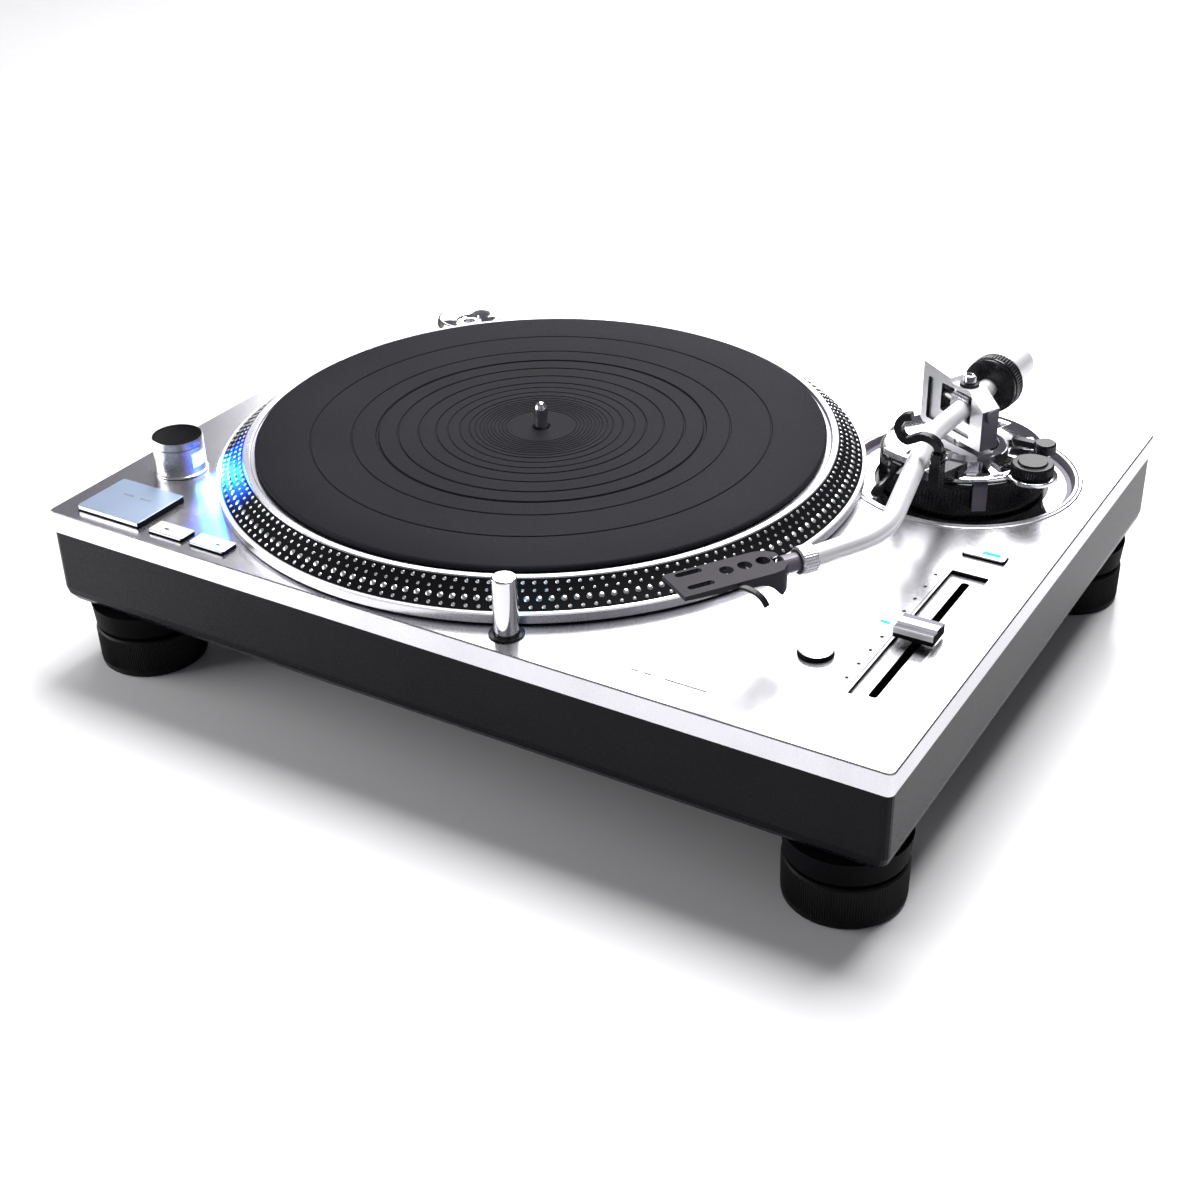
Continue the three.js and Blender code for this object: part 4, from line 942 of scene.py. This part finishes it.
def build_headshell():
    head = math.radians(HEAD_TURN)
    start = TUBE_END + Vector((-math.sin(head), -math.cos(head), 0)) * HEAD_START
    place = on_deck(PIVOT) @ at(start.x, start.y, TUBE_END.z) @ turn(-90 - HEAD_TURN, "Z")
    body = Solid(shell_coat, enamel)
    body.prism(SHELL_SIDE, -SHELL_HALF - 1, SHELL_HALF + 1, place @ turn(90, "X"))
    tools = [Solid(shell_coat).box(4, SHELL_LENGTH - 12, 2 - SHELL_HALF, SHELL_HALF - 2, -BEYOND,
                                   SHELL_TOP - SHELL_THICK, place)]
    for w in SLOT_MIDDLES:
        outline = round_rect(SHELL_LENGTH - 17, SHELL_LENGTH - 4.4, w - SLOT_HALF, w + SLOT_HALF, 1.55, 6)
        tools.append(Solid(enamel).prism(outline, -BEYOND, BEYOND, place))
    hole = [(0, -BEYOND), (SHELL_HOLE_R, -BEYOND), (SHELL_HOLE_R, BEYOND), (0, BEYOND)]
    for x in SHELL_HOLES:
        tools.append(Solid(enamel).lathe(hole, place @ at(x, -1.6), sides=40))
    socket = [(0, -1), (SOCKET_R, -1), (SOCKET_R, 4.4), (0, 4.4)]
    tools.append(Solid(enamel).lathe(socket, place @ turn(90, "Y"), sides=40))
    body = body.cut(shell_sides(place), *tools)
    piece("shell_body", body, "headshell", ["headshell"], bevel=0.3)
    keep("shell_plug", grey_metal, 0.2)
    keep("finger_lift", enamel, 0.2)


# ---- Stage, light and camera ----
# half the floor's side, in metres
FLOOR_HALF = 6.0
# softboxes and reflecting cards: azimuth, elevation, distance, size, power, roll
LIGHTS = {
    "back_softbox": (-22.5, 34, 3.0, (1.9, 2.2), 56, 18),
    "top_softbox": (8, 70, 2.4, (1.2, 1.0), 96, 0),
    "side_softbox": (-122, 10, 1.0, (0.7, 0.4), 7, 0),
    "front_card": (180, 24, 2.4, (2.4, 1.2), 1.8, 0),
    "left_card": (-102, 23, 2.4, (1.3, 1.1), 1.4, 0),
    "right_card": (90, 23, 2.4, (2.0, 1.2), 1.8, 0),
}
WORLD_STRENGTH = 0.18
# the world's colour low down and high up, each with the sine of the elevation where it is reached
LOW_SKY = (0.5, (0.55, 0.53, 0.62, 1))
HIGH_SKY = (0.9, (1.0, 1.0, 1.0, 1))


def build_stage():
    half = FLOOR_HALF
    corners = [(-half, -half, 0), (half, -half, 0), (half, half, 0), (-half, half, 0)]
    floor_mesh = bpy.data.meshes.new("floor")
    floor_mesh.from_pydata(corners, [], [(0, 1, 2, 3)])
    floor = bpy.data.objects.new("floor", floor_mesh)
    floor_mesh.materials.append(surface("floor_finish", (0.74, 0.74, 0.75), (0.78, 0.78, 0.79), (0.16, 0.22),
                                        grain=60, bump=0.01, blotch=2))
    bpy.context.scene.collection.objects.link(floor)


def add_light(name, data, location, rotation):
    lamp = bpy.data.objects.new(name, data)
    lamp.location = location
    lamp.rotation_euler = rotation
    bpy.context.scene.collection.objects.link(lamp)


def area_light(name, azimuth, elevation, distance, size, power, roll):
    """A softbox aimed at the deck's middle, metres away. Azimuth is from +Y towards +X, in degrees."""
    a, e = math.radians(azimuth), math.radians(elevation)
    aim = Vector((0, 0, DECK_TOP * MM))
    away = Vector((math.sin(a) * math.cos(e), math.cos(a) * math.cos(e), math.sin(e)))
    data = bpy.data.lights.new(name, "AREA")
    data.shape = "RECTANGLE"
    data.size, data.size_y = size
    data.energy = power
    facing = (-away).to_track_quat("-Z", "Y").to_matrix() @ Matrix.Rotation(math.radians(roll), 3, "Z")
    add_light(name, data, aim + away * distance, facing.to_euler())


def build_world():
    """A dim surround, brighter towards the top."""
    world = bpy.data.worlds.new("studio")
    bpy.context.scene.world = world
    world.use_nodes = True
    tree = world.node_tree
    tree.nodes.clear()
    place = node(tree, "ShaderNodeTexCoord").outputs["Generated"]
    split = node(tree, "ShaderNodeSeparateXYZ")
    tree.links.new(place, split.inputs[0])
    ramp = node(tree, "ShaderNodeValToRGB")
    for stop, (position, colour) in zip(ramp.color_ramp.elements, (LOW_SKY, HIGH_SKY)):
        stop.position = position
        stop.color = colour
    tree.links.new(split.outputs["Z"], ramp.inputs["Fac"])
    background = node(tree, "ShaderNodeBackground", Strength=WORLD_STRENGTH)
    tree.links.new(ramp.outputs["Color"], background.inputs["Color"])
    output = node(tree, "ShaderNodeOutputWorld")
    tree.links.new(background.outputs["Background"], output.inputs["Surface"])


def build_strobe_glow():
    """The blue light that the strobe's window throws on the platter's dots."""
    middle = Vector((KNOB.x, KNOB.y, DECK_TOP + 9)) * MM
    out = Vector((math.cos(math.radians(WINDOW_TURN)), math.sin(math.radians(WINDOW_TURN)), 0))
    glow = bpy.data.lights.new("strobe_glow", "SPOT")
    glow.energy = 4.0
    glow.color = (0.005, 0.08, 1.0)
    glow.spot_size = math.radians(150)
    glow.spot_blend = 0.6
    glow.shadow_soft_size = 0.003
    facing = (out + Vector((0, 0, -0.15))).to_track_quat("-Z", "Y")
    add_light("strobe_glow", glow, middle + out * 0.017, facing.to_euler())


def build_lights():
    build_world()
    for name, values in LIGHTS.items():
        area_light(name, *values)
    build_strobe_glow()


# angles in degrees, distance and target in metres, lens and sensor in millimetres
CAMERA = {"azimuth": 31.552, "elevation": 30.79, "roll": -1.301, "distance": 0.827,
          "target": (0.05894, -0.11394), "lens": 55.0, "sensor": 36}


def build_camera():
    """The camera looks back along `back` at a point on the deck, rolled about that line."""
    azimuth, elevation = math.radians(CAMERA["azimuth"]), math.radians(CAMERA["elevation"])
    roll = math.radians(CAMERA["roll"])
    back = Vector((math.sin(azimuth) * math.cos(elevation), -math.cos(azimuth) * math.cos(elevation),
                   math.sin(elevation)))
    right = (-back).cross(Vector((0, 0, 1))).normalized()
    up = right.cross(-back)
    across = right * math.cos(roll) + up * math.sin(roll)
    above = up * math.cos(roll) - right * math.sin(roll)
    target = Vector((*CAMERA["target"], DECK_TOP * MM))
    data = bpy.data.cameras.new("camera")
    data.lens = CAMERA["lens"]
    data.sensor_width = CAMERA["sensor"]
    camera = bpy.data.objects.new("camera", data)
    turned = Matrix((across, above, back)).transposed().to_4x4()
    camera.matrix_world = Matrix.Translation(target + back * CAMERA["distance"]) @ turned
    bpy.context.scene.collection.objects.link(camera)
    bpy.context.scene.camera = camera


build_camera()
build_chassis()
build_feet()
build_platter()
build_mat()
build_spindle()
build_knob()
build_buttons()
build_key_marks()
build_deck_marks()
build_fader()
build_lamp()
build_adaptor()
build_back()
build_well()
build_arm_base()
build_skate_dial()
build_levers()
build_clamp()
build_gimbal()
build_tube()
build_on_tube()
build_headshell()
build_stage()
build_lights()
bpy.context.scene.view_settings.view_transform = "Standard"
